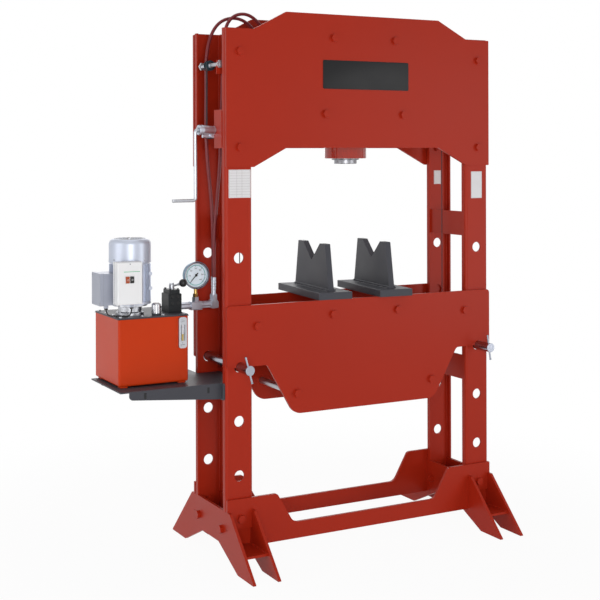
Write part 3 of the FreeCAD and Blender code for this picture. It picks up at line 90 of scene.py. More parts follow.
class PressDialSettings(bpy.types.PropertyGroup):
    zero: angle_setting("Zero", "Clockwise turn of the dial's zero from straight up", -138)
    sweep: angle_setting("Sweep", "Clockwise turn from zero to the full scale", 270)
    steps: bpy.props.IntProperty(
        name="Steps", description="Numbered steps on the dial", default=6, min=2, max=10)
    step_value: bpy.props.IntProperty(
        name="Step value", description="What one numbered step stands for", default=100, min=1)


class PressWeldSettings(bpy.types.PropertyGroup):
    ripple: length_setting("Ripple", "Distance between the ripples of a weld bead", 0.0026, 0.001, 0.01)


class PressStageSettings(bpy.types.PropertyGroup):
    camera_place: bpy.props.FloatVectorProperty(
        name="Camera", description="Where the camera stands", subtype="TRANSLATION", size=3,
        default=(-2.4594, -4.5977, 1.6618), unit="LENGTH")
    yaw: angle_setting("Heading", "Turn of the camera to the right of +Y", 28.17)
    roll: angle_setting("Roll", "Roll of the camera", -0.154)
    lens: bpy.props.FloatProperty(
        name="Lens", description="Focal length on a 36 mm sensor", default=72.867, min=10)
    shift: bpy.props.FloatProperty(
        name="Rise", description="Vertical shift, as a share of the frame", default=-0.2443)


# -------------------- material helpers
NOISE_SPAN = (0.3, 0.7)     # where nearly all of the noise lies
CLOUD_GAIN, CLOUD_LIFT = 1.12, 0.002    # from a finish's colour to that of its clouds
RELIEF = 0.35               # strength of the fine bumps


def set_inputs(node, values):
    for label, value in values.items():
        node.inputs[label].default_value = value


def new_group(name, inputs, outputs):
    group = bpy.data.node_groups.new(name, "ShaderNodeTree")
    for label, kind, value in inputs:
        socket = group.interface.new_socket(name=label, in_out="INPUT", socket_type=kind)
        socket.default_value = value
    for label, kind in outputs:
        group.interface.new_socket(name=label, in_out="OUTPUT", socket_type=kind)
    return group, group.nodes.new("NodeGroupInput"), group.nodes.new("NodeGroupOutput")


def noise(group, scale_socket, detail, stretch=(1, 1, 1)):
    """Noise on object coordinates, stretched, in a group."""
    coords = group.nodes.new("ShaderNodeTexCoord")
    mapping = group.nodes.new("ShaderNodeMapping")
    mapping.inputs["Scale"].default_value = stretch
    texture = group.nodes.new("ShaderNodeTexNoise")
    texture.inputs["Detail"].default_value = detail
    group.links.new(coords.outputs["Object"], mapping.inputs["Vector"])
    group.links.new(mapping.outputs["Vector"], texture.inputs["Vector"])
    group.links.new(scale_socket, texture.inputs["Scale"])
    return texture.outputs["Fac"]


def spread(group, value, low, high):
    """Maps noise round one half to the range from low to high."""
    mapped = group.nodes.new("ShaderNodeMapRange")
    set_inputs(mapped, {"From Min": NOISE_SPAN[0], "From Max": NOISE_SPAN[1]})
    group.links.new(value, mapped.inputs["Value"])
    for socket, label in ((low, "To Min"), (high, "To Max")):
        group.links.new(socket, mapped.inputs[label])
    return mapped.outputs["Result"]


def surface_group(name, stretch):
    """A colour that varies slowly, a roughness that varies and a fine height."""
    colour = (0.5, 0.5, 0.5, 1)
    group, given, result = new_group(
        name,
        [("Colour", "NodeSocketColor", colour), ("Second Colour", "NodeSocketColor", colour),
         ("Cloud Scale", "NodeSocketFloat", 3.0), ("Grain Scale", "NodeSocketFloat", 400.0),
         ("Roughness Low", "NodeSocketFloat", 0.2), ("Roughness High", "NodeSocketFloat", 0.3)],
        [("Colour", "NodeSocketColor"), ("Roughness", "NodeSocketFloat"), ("Height", "NodeSocketFloat")])
    cloud = noise(group, given.outputs["Cloud Scale"], 3.0)
    grain = noise(group, given.outputs["Grain Scale"], 2.0, stretch)
    mix = group.nodes.new("ShaderNodeMix")
    mix.data_type = "RGBA"
    group.links.new(cloud, mix.inputs["Factor"])
    group.links.new(given.outputs["Colour"], mix.inputs["A"])
    group.links.new(given.outputs["Second Colour"], mix.inputs["B"])
    group.links.new(mix.outputs["Result"], result.inputs["Colour"])
    rough = spread(group, cloud, given.outputs["Roughness Low"], given.outputs["Roughness High"])
    group.links.new(rough, result.inputs["Roughness"])
    group.links.new(grain, result.inputs["Height"])
    return group


GROUPS = {}
STRETCHES = {"Sprayed": (1, 1, 1), "Cast": (1, 1, 1), "Drawn X": (0.03, 1, 1), "Drawn Y": (1, 0.03, 1),
             "Drawn Z": (1, 1, 0.03)}


def finish(name, group_name, colour, cloud=3.0, grain=400.0, rough=(0.2, 0.3), metallic=0.0, coat=0.0,
           coat_rough=0.05, bump=0.0005, specular=0.35):
    """A material whose colour, roughness and bump come from one of the shared groups."""
    if group_name not in GROUPS:
        GROUPS[group_name] = surface_group(group_name, STRETCHES[group_name])
    material = bpy.data.materials.new(name)
    material.use_nodes = True
    nodes, links = material.node_tree.nodes, material.node_tree.links
    shader = nodes["Principled BSDF"]
    set_inputs(shader, {"Metallic": metallic, "Coat Weight": coat, "Coat Roughness": coat_rough,
                        "Specular IOR Level": specular})
    effect = nodes.new("ShaderNodeGroup")
    effect.node_tree = GROUPS[group_name]
    second = tuple(min(1, c * CLOUD_GAIN + CLOUD_LIFT) for c in colour)
    set_inputs(effect, {"Colour": (*colour, 1), "Second Colour": (*second, 1), "Cloud Scale": cloud,
                        "Grain Scale": grain, "Roughness Low": rough[0], "Roughness High": rough[1]})
    links.new(effect.outputs["Colour"], shader.inputs["Base Color"])
    links.new(effect.outputs["Roughness"], shader.inputs["Roughness"])
    relief = nodes.new("ShaderNodeBump")
    set_inputs(relief, {"Strength": RELIEF, "Distance": bump})
    links.new(effect.outputs["Height"], relief.inputs["Height"])
    links.new(relief.outputs["Normal"], shader.inputs["Normal"])
    return material


def clear_material(name, colour, rough):
    material = bpy.data.materials.new(name)
    material.use_nodes = True
    set_inputs(material.node_tree.nodes["Principled BSDF"], {
        "Base Color": (*colour, 1), "Roughness": rough, "Transmission Weight": 1.0, "IOR": 1.15})
    return material


MATERIALS = {}


def make_materials(paint):
    steel = dict(metallic=1.0, bump=0.0003, specular=0.5)
    MATERIALS.update({
        "red": finish("Frame paint", "Sprayed", paint.red, 1.6, 260, (0.34, 0.44),
                      coat=0.05, coat_rough=0.2, bump=0.0004, specular=0.15),
        "tank": finish("Tank paint", "Sprayed", paint.tank, 4, 260, (0.28, 0.38),
                       coat=0.05, coat_rough=0.14, bump=0.0004, specular=0.12),
        "dark": finish("Dark paint", "Sprayed", paint.dark, 5, 500, (0.42, 0.55), bump=0.0008, specular=0.3),
        "motor": finish("Motor paint", "Sprayed", paint.motor, 6, 420, (0.28, 0.38), metallic=0.35),
        "box": finish("Terminal box paint", "Sprayed", paint.box, 6, 420, (0.3, 0.4), metallic=0.3),
        "plate": finish("Bare plate", "Sprayed", (0.006, 0.006, 0.007), 8, 600,
                        (0.34, 0.44), bump=0.0002, specular=0.25),
        "label": finish("Bare label", "Sprayed", (0.80, 0.79, 0.80), 12, 700, (0.4, 0.5), bump=0.0002),
        "rule": finish("Ruled lines", "Sprayed", (0.46, 0.43, 0.44), 12, 700, (0.4, 0.5), bump=0.0002),
        "green": finish("Green line", "Sprayed", (0.16, 0.52, 0.30), 30, 700, (0.4, 0.5), bump=0.0001),
        "zinc": finish("Zinc plating", "Drawn Z", (0.44, 0.45, 0.48), 30, 900, (0.3, 0.42), **steel),
        "pipe": finish("Zinc plated pipe", "Drawn X", (0.52, 0.55, 0.62), 30, 900, (0.34, 0.44), **steel),
        "pin": finish("Turned pin", "Drawn Y", (0.36, 0.38, 0.44), 20, 800, (0.16, 0.26), **steel),
        "chrome": finish("Hard chrome", "Drawn Z", (0.46, 0.46, 0.48), 20, 1200,
                         (0.14, 0.22), metallic=1.0, bump=0.0001, specular=0.5),
        "gloss": finish("Cylinder paint", "Sprayed", paint.red, 4, 260, (0.2, 0.3),
                        coat=1.0, coat_rough=0.04, bump=0.0003, specular=0.02),
        "ram": finish("Ground ram", "Drawn Z", (0.27, 0.27, 0.29), 20, 1200,
                      (0.32, 0.38), metallic=1.0, bump=0.00001, specular=0.5),
        "machined": finish("Machined steel", "Drawn Z", (0.20, 0.20, 0.21), 20, 700,
                           (0.3, 0.42), metallic=1.0, bump=0.0004, specular=0.5),
        "brass": finish("Brass", "Drawn Z", (0.55, 0.37, 0.12), 40, 900, (0.24, 0.34),
                        metallic=1.0, specular=0.5),
        "black": finish("Black plastic", "Cast", (0.012, 0.012, 0.013), 30, 1200, (0.25, 0.35)),
        "black_block": finish("Phosphated block", "Cast", (0.012, 0.014, 0.016), 20, 700,
                              (0.34, 0.46), bump=0.0008, specular=0.25),
        "wheel": finish("Dark nylon wheel", "Cast", (0.014, 0.036, 0.048), 20, 700, (0.3, 0.4)),
        "red_button": finish("Red button", "Cast", (0.42, 0.075, 0.020), 40, 1200, (0.25, 0.35)),
        "cap_top": finish("Dark red cap", "Cast", (0.055, 0.010, 0.010), 40, 1200, (0.25, 0.35)),
        "white": finish("Switch box shell", "Cast", (0.90, 0.91, 0.94), 8, 900, (0.34, 0.44)),
        "dial": finish("Dial face", "Sprayed", (0.74, 0.79, 0.84), 30, 900, (0.4, 0.5), bump=0.0001),
        "dial_ring": finish("Dial ring", "Sprayed", (0.16, 0.46, 0.44), 30, 900, (0.4, 0.5), bump=0.0001),
        "ink": finish("Dial ink", "Sprayed", (0.012, 0.014, 0.016), 3.0, 900, (0.4, 0.5), bump=0.0001),
        "case": finish("Gauge case", "Cast", (0.16, 0.24, 0.32), 20, 900, (0.22, 0.32), metallic=0.8),
        "hose": finish("Hose cover", "Cast", (0.20, 0.020, 0.025), 60, 1500, (0.3, 0.42)),
        # the rope's dark red-brown is painted shade and painted red reflection of the frame round it inside
        # the column's channel
        "rope": finish("Wire rope in painted shade", "Cast", (0.055, 0.022, 0.026), 100, 1800, (0.4, 0.5), metallic=0.4),
        "float": finish("Opal tube", "Cast", (0.78, 0.77, 0.80), 30, 300, (0.1, 0.16)),
        "oil": finish("Gauge oil", "Cast", (0.64, 0.46, 0.14), 30, 300, (0.1, 0.16)),
        "glass": clear_material("Gauge glass", (0.97, 0.99, 1.0), 0.02),
    })


FINISHES = {
    "red": ("column_front_left column_front_right column_rear_left column_rear_right crosshead_front "
            "crosshead_rear frame_spacers frame_bolts table_front table_rear table_bolts "
            "base_tie_front base_tie_rear foot_left foot_right rope_brackets"),
    "tank": "tank",
    "dark": "vee_block_left vee_block_right shelf tank_lid",
    "black_block": "valve_block",
    "wheel": "guide_roller winch_drum",
    "motor": "motor fan_cover",
    "box": "terminal_box",
    "plate": "name_plate",
    "zinc": "table_spacers winch_crank bell_housing valve_lever zinc_fasteners sight_gauge",
    "pipe": "pipes winch_case",
    "pin": "pin_left pin_right",
    "chrome": "filler_cap",
    "machined": "lift_pulley_left lift_pulley_right",
    "brass": "gauge_nipple",
    "black": "valve_knob button_start motor_cable gauge_needle",
    "red_button": "button_stop",
    "white": "switch_box",
    "dial": "gauge_dial",
    "case": "gauge_case",
    "glass": "gauge_glass sight_tube",
    "hose": "hose_pressure hose_return",
    # the ropes get a colour of painted shade and painted red reflection from the channel they run in
    "rope": "guide_ropes rope_left rope_right",
}


def dress(piece, material):
    piece.data.materials.clear()
    piece.data.materials.append(MATERIALS[material])


class Step:
    """What every operator here shares: it runs its build and is done."""

    def execute(self, context):
        self.build(context)
        return {"FINISHED"}


class PRESS_OT_finishes(Step, bpy.types.Operator):
    """Give every constructed node its finish"""
    bl_idname = "press.finishes"
    bl_label = "Finishes"

    def build(self, context):
        make_materials(context.scene.press_paint)
        for finish_name, nodes in FINISHES.items():
            for node in nodes.split():
                dress(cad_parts[node], finish_name)


# -------------------- modelling helpers
AXES = {"X": (1, 0, 0), "-X": (-1, 0, 0), "Y": (0, 1, 0), "-Y": (0, -1, 0), "Z": (0, 0, 1), "-Z": (0, 0, -1)}
PARALLEL = 0.99             # cosine past which an edge counts as running along an axis
WELDED = 1e-6               # distance under which a turned piece's points are one, in metres


def select(*pieces):
    """Selects these objects and nothing else."""
    bpy.ops.object.select_all(action="DESELECT")
    for piece in pieces:
        piece.select_set(True)
    bpy.context.view_layer.objects.active = pieces[0]


def settle(piece):
    """Puts a piece's place, turn and size into its mesh."""
    select(piece)
    bpy.ops.object.transform_apply(location=True, rotation=True, scale=True)
    return piece


def laid(piece, base, axis):
    """Stands a piece built up from the origin at a place, along an axis or a direction."""
    piece.rotation_euler = Vector(AXES.get(axis, axis)).to_track_quat("Z", "Y").to_euler()
    piece.location = place(*base)
    return settle(piece)


def swung(piece, centre, turn):
    """Turns a piece about a point in press millimetres."""
    pivot = place(*centre)
    turn = Euler(turn)
    piece.rotation_euler = turn
    piece.location = pivot - turn.to_matrix() @ pivot
    return settle(piece)


def newest(name):
    piece = bpy.context.active_object
    piece.name = name
    return piece


def open_edges_along(piece, axis):
    """Opens a mesh in edit mode with just the edges along an axis selected."""
    select(piece)
    bpy.ops.object.mode_set(mode="EDIT")
    bpy.ops.mesh.select_mode(type="EDGE")
    bpy.ops.mesh.select_all(action="DESELECT")
    bpy.ops.object.mode_set(mode="OBJECT")
    vertices = piece.data.vertices
    for edge in piece.data.edges:
        along = vertices[edge.vertices[1]].co - vertices[edge.vertices[0]].co
        edge.select = abs(along.normalized()["XYZ".index(axis)]) > PARALLEL
    bpy.ops.object.mode_set(mode="EDIT")


def soften(piece, width, segments=2):
    """Rounds a piece's sharp edges by a width in millimetres."""
    select(piece)
    modifier = piece.modifiers.new("Rounded edges", "BEVEL")
    modifier.width = width * MM
    modifier.segments = segments
    modifier.limit_method = "ANGLE"
    bpy.ops.object.modifier_apply(modifier=modifier.name)
    bpy.ops.object.shade_smooth_by_angle(angle=math.radians(SMOOTH))
    return piece


def block(name, low, high, corner=0, corner_axis="Y"):
    """A box between two corners in press millimetres, its edges along one axis rounded."""
    first, last = place(*low), place(*high)
    bpy.ops.object.select_all(action="DESELECT")
    bpy.ops.mesh.primitive_cube_add(size=1, location=(first + last) / 2)
    piece = newest(name)
    piece.scale = last - first
    settle(piece)
    if corner:
        open_edges_along(piece, corner_axis)
        bpy.ops.mesh.bevel(offset=corner * MM, segments=5, affect="EDGES")
        bpy.ops.object.mode_set(mode="OBJECT")
    return piece


def turned(name, profile, base, axis="Z", sides=32, smooth=SMOOTH):
    """A turned piece: a circle extruded and widened through (radius, height) steps in millimetres.

    A profile that ends where it starts makes a ring, and any other a closed body.
    """
    ring = profile[0] == profile[-1]
    bpy.ops.object.select_all(action="DESELECT")
    bpy.ops.mesh.primitive_circle_add(vertices=sides, radius=profile[0][0] * MM,
                                      fill_type="NOTHING" if ring else "NGON",
                                      location=(0, 0, profile[0][1] * MM))
    piece = newest(name)
    bpy.ops.object.mode_set(mode="EDIT")
    bpy.ops.mesh.select_mode(type="EDGE" if ring else "FACE")
    bpy.ops.mesh.select_all(action="SELECT")
    for (radius, height), (next_radius, next_height) in zip(profile, profile[1:]):
        rise = {"value": (0, 0, (next_height - height) * MM)}
        bpy.ops.mesh.extrude_region_move(TRANSFORM_OT_translate=rise)
        grow = next_radius / radius
        bpy.ops.transform.resize(value=(grow, grow, 1))
    bpy.ops.mesh.select_all(action="SELECT")
    bpy.ops.mesh.remove_doubles(threshold=WELDED)
    bpy.ops.mesh.normals_make_consistent(inside=False)
    bpy.ops.object.mode_set(mode="OBJECT")
    settle(piece)
    laid(piece, base, axis)
    bpy.ops.object.shade_smooth_by_angle(angle=math.radians(smooth))
    return piece


def joined(name, pieces):
    select(*pieces)
    if len(pieces) > 1:
        bpy.ops.object.join()
    return newest(name)


def repeated(name, piece, offsets):
    """Copies of a piece, each with its own mesh, moved by offsets in millimetres and joined."""
    copies = []
    for offset in offsets:
        twin = piece.copy()
        twin.data = piece.data.copy()
        twin.location = Vector(offset) * MM
        bpy.context.scene.collection.objects.link(twin)
        copies.append(twin)
    bpy.data.objects.remove(piece)
    bpy.context.view_layer.update()
    return settle(joined(name, copies))


def fit(piece, material=None, body="press"):
    """Dresses a piece and fixes it to its body."""
    if material:
        dress(piece, material)
    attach(piece, body)
    return piece


def border(x0, x1, z0, z1, wide):
    """Four bars just inside a rectangle, each as its ends across and its ends up."""
    return ((x0, x1, z0, z0 + wide), (x0, x1, z1 - wide, z1),
            (x0, x0 + wide, z0, z1), (x1 - wide, x1, z0, z1))


def mirrored(x, *rest):
    """The same place on the right and on the left of the ram axis."""
    return [(x, *rest), (-x, *rest)]


# -------------------- stage
LAMPS = (                   # name, place and aim in metres, size in metres, power in watts
    ("Key", (-2.0, -4.7, 1.5), (0.2, 0, 1.1), 2.2, 86),
    ("Left bank", (-4.6, -0.4, 1.7), (0, 0, 1.2), 3.0, 44),
    ("Right fill", (3.6, -4.0, 1.4), (0.2, 0, 1.1), 2.4, 36),
    ("Top", (0.2, 1.2, 4.8), (0.2, 0.1, 1.0), 3.2, 22),
    ("Rear fill", (1.2, 4.6, 2.6), (0.2, 0, 1.1), 3.0, 34),
)
WORLD_LEVEL = 0.27
WHITE = (1, 1, 1, 1)
FLOOR_SIZE = 24             # metres
FLOOR_WHITE = 0.92
# the floor is seen as a glow: its share near the press and far off, and the reach of the first and the last
GLOW_FADE = {"From Min": 1.0, "From Max": 2.6, "To Min": 0.95, "To Max": 1.0}


def seen_directly(nodes, links):
    """One for camera, glossy and transmission rays, and nought for the rest."""
    path = nodes.new("ShaderNodeLightPath")
    total = path.outputs["Is Camera Ray"]
    for label in ("Is Glossy Ray", "Is Transmission Ray"):
        add = nodes.new("ShaderNodeMath")
        add.use_clamp = True
        links.new(total, add.inputs[0])
        links.new(path.outputs[label], add.inputs[1])
        total = add.outputs[0]
    return total


class PRESS_OT_stage(Step, bpy.types.Operator):
    """Camera, floor, world and lamps"""
    bl_idname = "press.stage"
    bl_label = "Stage"

    def build(self, context):
        scene = context.scene
        scene.view_settings.view_transform = "Standard"
        self.camera(scene, scene.press_stage)
        self.floor()
        self.world(scene)
        for name, spot, aim, size, power in LAMPS:
            lamp = bpy.data.lights.new(name, "AREA")
            lamp.shape = "SQUARE"
            lamp.size = size
            lamp.energy = power
            holder = bpy.data.objects.new(name, lamp)
            scene.collection.objects.link(holder)
            holder.location = spot
            holder.rotation_euler = (Vector(aim) - Vector(spot)).to_track_quat("-Z", "Y").to_euler()

    def camera(self, scene, settings):
        data = bpy.data.cameras.new("Camera")
        data.lens = settings.lens
        data.sensor_width = 36
        data.shift_y = settings.shift
        data.clip_end = 100
        camera = bpy.data.objects.new("Camera", data)
        scene.collection.objects.link(camera)
        camera.location = settings.camera_place
        heading = Vector((math.sin(settings.yaw), math.cos(settings.yaw), 0))
        turn = heading.to_track_quat("-Z", "Y").to_matrix().to_4x4()
        camera.rotation_euler = (turn @ Matrix.Rotation(settings.roll, 4, "Z")).to_euler()
        scene.camera = camera

    def floor(self):
        bpy.ops.mesh.primitive_plane_add(size=FLOOR_SIZE, location=(0, 0, 0))
        floor = newest("Floor")
        material = bpy.data.materials.new("Pale floor")
        material.use_nodes = True
        nodes, links = material.node_tree.nodes, material.node_tree.links
        shader = nodes["Principled BSDF"]
        set_inputs(shader, {"Base Color": (FLOOR_WHITE, FLOOR_WHITE, FLOOR_WHITE, 1), "Roughness": 0.9,
                            "Specular IOR Level": 0.0})
        floor.data.materials.append(material)
        glow = nodes.new("ShaderNodeEmission")
        coords = nodes.new("ShaderNodeTexCoord")
        reach = nodes.new("ShaderNodeVectorMath")
        reach.operation = "LENGTH"
        links.new(coords.outputs["Object"], reach.inputs[0])
        fade = nodes.new("ShaderNodeMapRange")
        fade.interpolation_type = "SMOOTHSTEP"
        set_inputs(fade, GLOW_FADE)
        links.new(reach.outputs["Value"], fade.inputs["Value"])
        share = nodes.new("ShaderNodeMath")
        share.operation = "MULTIPLY"
        links.new(fade.outputs["Result"], share.inputs[1])
        mix = nodes.new("ShaderNodeMixShader")
        links.new(seen_directly(nodes, links), share.inputs[0])
        links.new(share.outputs[0], mix.inputs["Fac"])
        links.new(shader.outputs[0], mix.inputs[1])
        links.new(glow.outputs[0], mix.inputs[2])
        links.new(mix.outputs[0], nodes["Material Output"].inputs["Surface"])

    def world(self, scene):
        world = bpy.data.worlds.new("Studio")
        scene.world = world
        world.use_nodes = True
        nodes, links = world.node_tree.nodes, world.node_tree.links
        light = nodes["Background"]
        set_inputs(light, {"Color": WHITE, "Strength": WORLD_LEVEL})
        seen = nodes.new("ShaderNodeBackground")
        set_inputs(seen, {"Color": WHITE})
        mix = nodes.new("ShaderNodeMixShader")
        links.new(seen_directly(nodes, links), mix.inputs["Fac"])
        links.new(light.outputs[0], mix.inputs[1])
        links.new(seen.outputs[0], mix.inputs[2])
        links.new(mix.outputs[0], nodes["World Output"].inputs["Surface"])


# -------------------- cords
HOSE_ROUTES = {
    "hose_pressure": [
        (-612, 42.5, 1146), (-612, 42.5, 1300), (-596, 45, 1460), (-581, 46, 1620), (-577, 47, 1780),
        (-569, 46, 1940), (-566, 44, 2090), (-557, 42.5, 2200), (-509, 42.5, 2251), (-436, 42.5, 2252),
        (-366, 40, 2180), (-300, 32, 2062), (-236, 0, 1973), (-142, 0, 1973),
    ],
    "hose_return": [
        (-600, 75, 1146), (-600, 75, 1300), (-604, 83, 1470), (-623, 84, 1640), (-629, 83, 1790),
        (-626, 82.5, 1930), (-628, 83, 2060), (-606, 83.5, 2165), (-556, 83, 2228), (-474, 82.5, 2242),
        (-402, 82, 2196), (-364, 80, 2110), (-346, 78, 1990), (-336, 70, 1890), (-328, 58, 1800),
        (-285, 30, 1728), (-222, 0, 1705), (-142, 0, 1705),
    ],
}
CABLE_ROUTE = [
    (-1088, 26, 1048), (-1088, 25.7, 1031), (-1079.5, 17.5, 1018), (-1058.5, -3, 1017.6),
    (-1037.5, -22, 1018.1), (-1018, -39, 1018.6), (-1007.7, -48.2, 1033.2), (-1008, -48.5, 1056),
]


def spline_cord(name, points, diameter, material):
    """A smooth round cord along a route's control points."""
    curve = bpy.data.curves.new(name, "CURVE")
    curve.dimensions = "3D"
    curve.bevel_depth = diameter / 2
    curve.bevel_resolution = 6
    curve.resolution_u = 16
    curve.use_fill_caps = True
    spline = curve.splines.new("NURBS")
    spline.points.add(len(points) - 1)
    for control, point in zip(spline.points, points):
        control.co = (*place(*point), 1)
    spline.order_u = 3
    spline.use_endpoint_u = True
    piece = bpy.data.objects.new(name, curve)
    bpy.context.scene.collection.objects.link(piece)
    dress(piece, material)
    return piece


class PRESS_OT_hoses(Step, bpy.types.Operator):
    """The two hydraulic hoses and the motor's cable"""
    bl_idname = "press.hoses"
    bl_label = "Hoses and cable"

    def build(self, context):
        settings = context.scene.press_hoses
        for node, route in HOSE_ROUTES.items():
            hose = spline_cord(node + "_cover", route, settings.diameter, "hose")
            fit(hose)
            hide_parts(node)
        cable = spline_cord("motor_cable_cover", CABLE_ROUTE, settings.cable, "black")
        fit(cable)
        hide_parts("motor_cable")


class PRESS_OT_ferrules(Step, bpy.types.Operator):
    """Crimp rings on the hoses' ferrules"""
    bl_idname = "press.ferrules"
    bl_label = "Hose ferrules"

    def build(self, context):
        crimp = [(8.4, 0), (9.6, 1.5), (9.6, 7.5), (8.4, 9), (8.4, 0)]
        rings = []
        for end, axis, start, step, count in ((0, "Z", (0, 0, -12), (0, 0, -13), 4),
                                              (-1, "X", (2, 0, 0), (12, 0, 0), 2)):
            for route in HOSE_ROUTES.values():
                ring = turned("ring", crimp, Vector(route[end]) + Vector(start), axis=axis)
                rings.append(repeated("rings", ring, [Vector(step) * k for k in range(count)]))
        fit(joined("hose_crimp_rings", rings), "pipe")


# -------------------- cylinder and ram
BARREL = 92                 # radii
BORE = 65
ROD = 50
BARREL_BOTTOM = 1639
BARREL_TOP = 1993
CAP_TOP = 2021
CAP_SCREWS = 8
CAP_SCREW_CIRCLE = 78
FLANGE_CORNERS = (-225, -110, 1757), (225, 110, 1797)
ON_AXIS = (0, 0, 0)


class PRESS_OT_cylinder(Step, bpy.types.Operator):
    """The cylinder's barrel, flange, gland and cap, and the ram"""
    bl_idname = "press.cylinder"
    bl_label = "Cylinder and ram"

    def build(self, context):
        low = BARREL_BOTTOM
        barrel = turned("barrel", [(BORE, low + 1), (88, low), (91, low + 1), (BARREL, low + 3),
                                   (BARREL, BARREL_TOP), (BORE, BARREL_TOP), (BORE, low + 1)],
                        ON_AXIS, sides=FINE)
        flange = block("flange", *FLANGE_CORNERS, corner=15, corner_axis="Z")
        body = joined("cylinder_body", [barrel, soften(flange, 1.5)])
        fit(body, "gloss")
        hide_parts("cylinder_barrel")
        inner = ROD + 0.05
        gland = turned("gland", [(inner, low - 5), (51, low - 6), (58, low - 6), (60, low - 4), (60, low),
                                 (BORE, low), (BORE, low + 50), (inner, low + 50), (inner, low - 5)],
                       ON_AXIS, sides=FINE)
        cap = turned("cap", [(BORE, BARREL_TOP - 12), (BORE, BARREL_TOP), (BARREL, BARREL_TOP),
                             (BARREL, CAP_TOP - 1.5), (90.5, CAP_TOP), (20, CAP_TOP)], ON_AXIS, sides=FINE)
        screws = []
        for k in range(CAP_SCREWS):
            screw = turned("screw", [(8.08, 0), (8.08, 6.5), (7, 8), (2, 8)], (CAP_SCREW_CIRCLE, 0, CAP_TOP),
                           sides=6, smooth=10)
            screws.append(swung(screw, ON_AXIS, (0, 0, (k + 0.5) * 2 * math.pi / CAP_SCREWS)))
        ends = joined("cylinder_gland_and_cap", [gland, cap, *screws])
        fit(ends, "machined")
        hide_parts("cylinder_ends")
        ram = turned("ram", [(46, 1616), (48, 1616), (ROD, 1618), (ROD, 1939), (64.9, 1939), (64.9, 1949),
                             (60, 1949), (60, 1957), (64.9, 1957), (64.9, 1964), (55, 1964), (55, 1979),
                             (10, 1979)], ON_AXIS, sides=FINE)
        fit(ram, "ram", "ram")
        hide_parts("piston_rod")


# -------------------- fasteners
PLATE_Y = 169.5             # outer faces of the crosshead plates
TABLE_Y = 170.0             # outer faces of the table plates
WEB_Y = 157.5               # outer faces of the columns' webs
THROUGH_PLACES = mirrored(152, 2146) + mirrored(192, 1827)
CROSSHEAD_PLACES = mirrored(590, 1687) + mirrored(590, 2075) + THROUGH_PLACES
TABLE_PLACES = mirrored(515, 962) + mirrored(160, 987) + mirrored(333, 672)
TIE_PLACES = mirrored(590, 190)
NUT_END = 13.0              # height of a head or a nut


class PRESS_OT_fasteners(Step, bpy.types.Operator):
    """Washers under the bolt heads and nuts, and the threads that show past the nuts"""
    bl_idname = "press.fasteners"
    bl_label = "Fasteners"

    def build(self, context):
        washer = [(12, 0), (18.2, 0), (18.2, 1.1), (17.6, 1.7), (12, 1.7), (12, 0)]
        thread = [(9.9, 0), (10.5, 0.6), (9.9, 1.3), (9.9, 1.9), (10.5, 2.5), (9.9, 3.2), (9.9, 3.8),
                  (10.3, 4.3), (9.0, 5.1), (3.0, 5.1)]
        for places, y, body in ((CROSSHEAD_PLACES + TIE_PLACES, PLATE_Y, "press"),
                                (TABLE_PLACES, TABLE_Y, "table")):
            front = turned("washer", washer, (0, -y, 0), axis="-Y")
            rear = turned("washer", washer, (0, y, 0), axis="Y")
            offsets = [(x, 0, z) for x, z in places]
            pair = [repeated("front", front, offsets), repeated("rear", rear, offsets)]
            fit(joined(body + "_washers", pair), "red", body)
        for places, y, body in ((THROUGH_PLACES, PLATE_Y, "press"), (TABLE_PLACES, TABLE_Y, "table")):
            end = turned("thread", thread, (0, y + NUT_END, 0), axis="Y", smooth=20)
            fit(repeated(body + "_threads", end, [(x, 0, z) for x, z in places]), "red", body)


def cap_screw(base, axis, radius=4.0, height=4.0):
    """A socket-head cap screw."""
    profile = [(radius - 0.3, 0), (radius, 0.3), (radius, height - 0.5), (radius - 0.5, height),
               (radius * 0.55, height), (radius * 0.55, height * 0.4), (radius * 0.1, height * 0.4)]
    return turned("screw", profile, base, axis=axis, sides=18, smooth=25)


# -------------------- welds
def bead(start, end, size, ripple):
    """A weld bead: overlapping flat drops in a row from start to end, in millimetres."""
    first, last = Vector(start), Vector(end)
    along = last - first
    bpy.ops.object.select_all(action="DESELECT")
    bpy.ops.mesh.primitive_uv_sphere_add(segments=8, ring_count=6, radius=size * MM)
    drop = newest("drop")
    drop.scale = (1, 1, 0.75)
    settle(drop)
    rows = drop.modifiers.new("Row", "ARRAY")
    rows.use_relative_offset = False
    rows.use_constant_offset = True
    rows.constant_offset_displace = (0, 0, ripple)
    rows.count = max(2, int(along.length * MM / ripple))
    bpy.ops.object.modifier_apply(modifier=rows.name)
    laid(drop, start, tuple(along))
    bpy.ops.object.shade_smooth()
    return drop


FILLET = 2.6                # half the width of a bead


